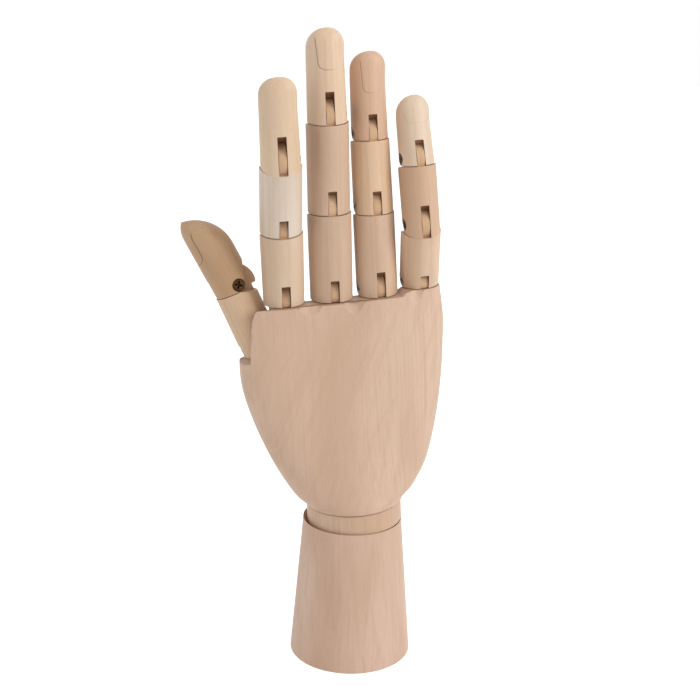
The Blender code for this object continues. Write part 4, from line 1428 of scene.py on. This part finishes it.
class WOODEN_HAND_OT_wrist_works(bpy.types.Operator):
    """Winds the spring and bends the ring and the eye that hold the ball in its dish"""

    bl_idname = "wooden_hand.wrist_works"
    bl_label = "Wrist spring, ring, eye and anchor"

    def execute(self, context):
        looks = context.scene.wooden_hand_metals
        thick = SPRING_WIRE / 2
        ring = [(RING_RADIUS * cosine(a), 0.0, RING_RADIUS * sine(a)) for a in range(0, 360, 8)]
        centre = EYE_LIFT + EYE_RADIUS
        eye = [(0.0, y, z) for y, z in arc(EYE_RADIUS, 110.0, 450.0, 34, (0.0, centre))]
        eye.append((0.0, 0.0, centre + EYE_RADIUS + SPRING_WIRE))
        eye.append((0.0, 0.0, centre + EYE_RADIUS + EYE_SHANK))
        for node, route, place, body, closed in (
            ("wrist_spring", spring_route(), WRIST, "spring", False),
            ("swivel_ring", ring, WRIST, "ring", True),
            ("screw_eye", eye, HAND, "hand", False),
        ):
            piece = wire(node + "_wire", route, thick, place, closed)
            material = metal(node + " steel", place, looks.steel, roughness=0.3, wear=0.25)
            dressed(piece, [material], body, node)
        under = BORE_FLOOR + 2 * TOUCH_GAP + SPRING_WIRE
        top = under + ANCHOR_HEAD_THICKNESS
        end = BORE_FLOOR - ANCHOR_DEPTH
        profile = [
            (0.0, top), (ANCHOR_HEAD_RADIUS * ANCHOR_FLAT_SHARE, top),
            (ANCHOR_HEAD_RADIUS, top - ANCHOR_HEAD_THICKNESS / 2),
            (ANCHOR_HEAD_RADIUS, under), (ANCHOR_SHANK_RADIUS, under),
            (ANCHOR_SHANK_RADIUS, end + ANCHOR_SHANK_RADIUS), (0.0, end),
        ]
        piece = turned(profile, SCREW_SIDES, Matrix.Identity(4), "anchor_screw_turned")
        place = Matrix.Translation((0.0, 0.0, top))
        carve(piece, [cut_with(cross_cutter(place, context.scene.wooden_hand_pieces))])
        smoothed(piece)
        material = metal(
            "anchor steel", Matrix.Identity(4), looks.steel, roughness=0.3, wear=0.25
        )
        dressed(piece, [material], "cuff", "anchor_screw")
        return {"FINISHED"}


def area_lamp(name, place, size, power):
    """A soft square lamp that points at the middle of the hand."""
    light = bpy.data.lights.new(name, "AREA")
    light.size = size
    light.energy = power
    lamp = bpy.data.objects.new(name, light)
    turn = (LAMP_AIM - Vector(place)).to_track_quat("-Z", "Y").to_matrix().to_4x4()
    lamp.matrix_world = Matrix.Translation(place) @ turn
    bpy.context.scene.collection.objects.link(lamp)


def studio_floor(stage):
    """A pale disc that shows white to the camera and keeps the hand's shadow."""
    shape = bmesh.new()
    bmesh.ops.create_circle(shape, cap_ends=True, segments=FLOOR_SIDES, radius=FLOOR_RADIUS)
    floor = finished(shape, "studio_floor")
    finish = Finish("studio floor", 0.7)
    tint = linear(stage.floor_colour)
    point = finish.node("ShaderNodeTexCoord", output="Object")
    grit = finish.node("ShaderNodeTexNoise", {}, {"Vector": point, "Scale": 40.0, "Detail": 2.0})
    shown = finish.mixed(grit, tint, times(tint, 0.985))
    finish.feed(finish.shader.inputs["Base Color"], shown)
    glow = finish.mixed(finish.seen_directly(), BLACK, WHITE)
    finish.feed(finish.shader.inputs["Emission Color"], glow)
    finish.feed(finish.shader.inputs["Emission Strength"], stage.floor_glow)
    floor.data.materials.append(finish.material)


def studio_room(scene, strength):
    """Even light all round, which the camera sees as plain white."""
    world = scene.world or bpy.data.worlds.new("studio")
    scene.world = world
    world.use_nodes = True
    room = Nodes(world.node_tree)
    lit = room.tree.nodes["Background"]
    room.feed(lit.inputs["Color"], WHITE)
    room.feed(lit.inputs["Strength"], strength)
    plain = room.node("ShaderNodeBackground", {}, {"Color": WHITE, "Strength": 1.0})
    seen = room.node("ShaderNodeMixShader", {}, {
        0: room.seen_directly(), 1: Value(room, lit.outputs[0]), 2: plain,
    })
    room.feed(room.tree.nodes["World Output"].inputs["Surface"], seen)


def studio_camera(scene, stage):
    camera = bpy.data.objects.new("camera", bpy.data.cameras.new("camera"))
    scene.collection.objects.link(camera)
    scene.camera = camera
    camera.data.sensor_width = SENSOR_WIDTH
    camera.data.lens = stage.lens
    camera.data.clip_start, camera.data.clip_end = CAMERA_CLIP
    forward = Vector(stage.camera_aim).normalized()
    level = forward.cross(Vector((0.0, 0.0, 1.0))).normalized()
    upright = level.cross(forward)
    right = level * math.cos(stage.camera_roll) + upright * math.sin(stage.camera_roll)
    view = Matrix((right, right.cross(forward), -forward)).transposed().to_4x4()
    camera.matrix_world = Matrix.Translation(stage.camera_place) @ view


class WOODEN_HAND_OT_stage(bpy.types.Operator):
    """Adds the floor, the white surroundings, the soft studio lamps and the camera"""

    bl_idname = "wooden_hand.stage"
    bl_label = "Stage"

    def execute(self, context):
        scene = context.scene
        stage = scene.wooden_hand_stage
        scene.view_settings.view_transform = "Standard"
        studio_floor(stage)
        studio_room(scene, stage.room_light)
        for name, (place, size) in LAMPS.items():
            area_lamp(name + "_lamp", place, size, getattr(stage, name + "_power"))
        studio_camera(scene, stage)
        return {"FINISHED"}


class WOODEN_HAND_PT_panel(bpy.types.Panel):
    """Lists the settings and builds the hand piece by piece"""

    bl_idname = "WOODEN_HAND_PT_panel"
    bl_label = "Jointed wooden hand"
    bl_space_type = "VIEW_3D"
    bl_region_type = "UI"
    bl_category = "Wooden hand"

    def draw(self, context):
        layout = self.layout
        scene = context.scene
        for name in GROUPS:
            box = layout.box()
            box.label(text=name.removeprefix("wooden_hand_").capitalize())
            group = getattr(scene, name)
            for key in group.bl_rna.properties.keys():
                if key not in ("rna_type", "name"):
                    box.prop(group, key)
        for operator in OPERATORS:
            layout.operator(operator.bl_idname)


GROUPS = {
    "wooden_hand_wood": WoodSettings,
    "wooden_hand_tones": ToneSettings,
    "wooden_hand_pieces": PieceSettings,
    "wooden_hand_metals": MetalSettings,
    "wooden_hand_stage": StageSettings,
}
OPERATORS = (
    WOODEN_HAND_OT_cuff, WOODEN_HAND_OT_palm, WOODEN_HAND_OT_ball, WOODEN_HAND_OT_wrist_works,
    WOODEN_HAND_OT_tabs, WOODEN_HAND_OT_digits, WOODEN_HAND_OT_screws, WOODEN_HAND_OT_stage,
)


def register():
    for made in (*GROUPS.values(), *OPERATORS, WOODEN_HAND_PT_panel):
        bpy.utils.register_class(made)
    for name, group in GROUPS.items():
        setattr(bpy.types.Scene, name, bpy.props.PointerProperty(type=group))


def unregister():
    for name in reversed(GROUPS):
        delattr(bpy.types.Scene, name)
    for made in reversed((*GROUPS.values(), *OPERATORS, WOODEN_HAND_PT_panel)):
        bpy.utils.unregister_class(made)


def main():
    register()
    bpy.ops.wooden_hand.cuff()
    bpy.ops.wooden_hand.palm()
    bpy.ops.wooden_hand.ball()
    bpy.ops.wooden_hand.wrist_works()
    bpy.ops.wooden_hand.tabs()
    bpy.ops.wooden_hand.digits()
    bpy.ops.wooden_hand.screws()
    bpy.ops.wooden_hand.stage()


if __name__ == "__main__":
    main()
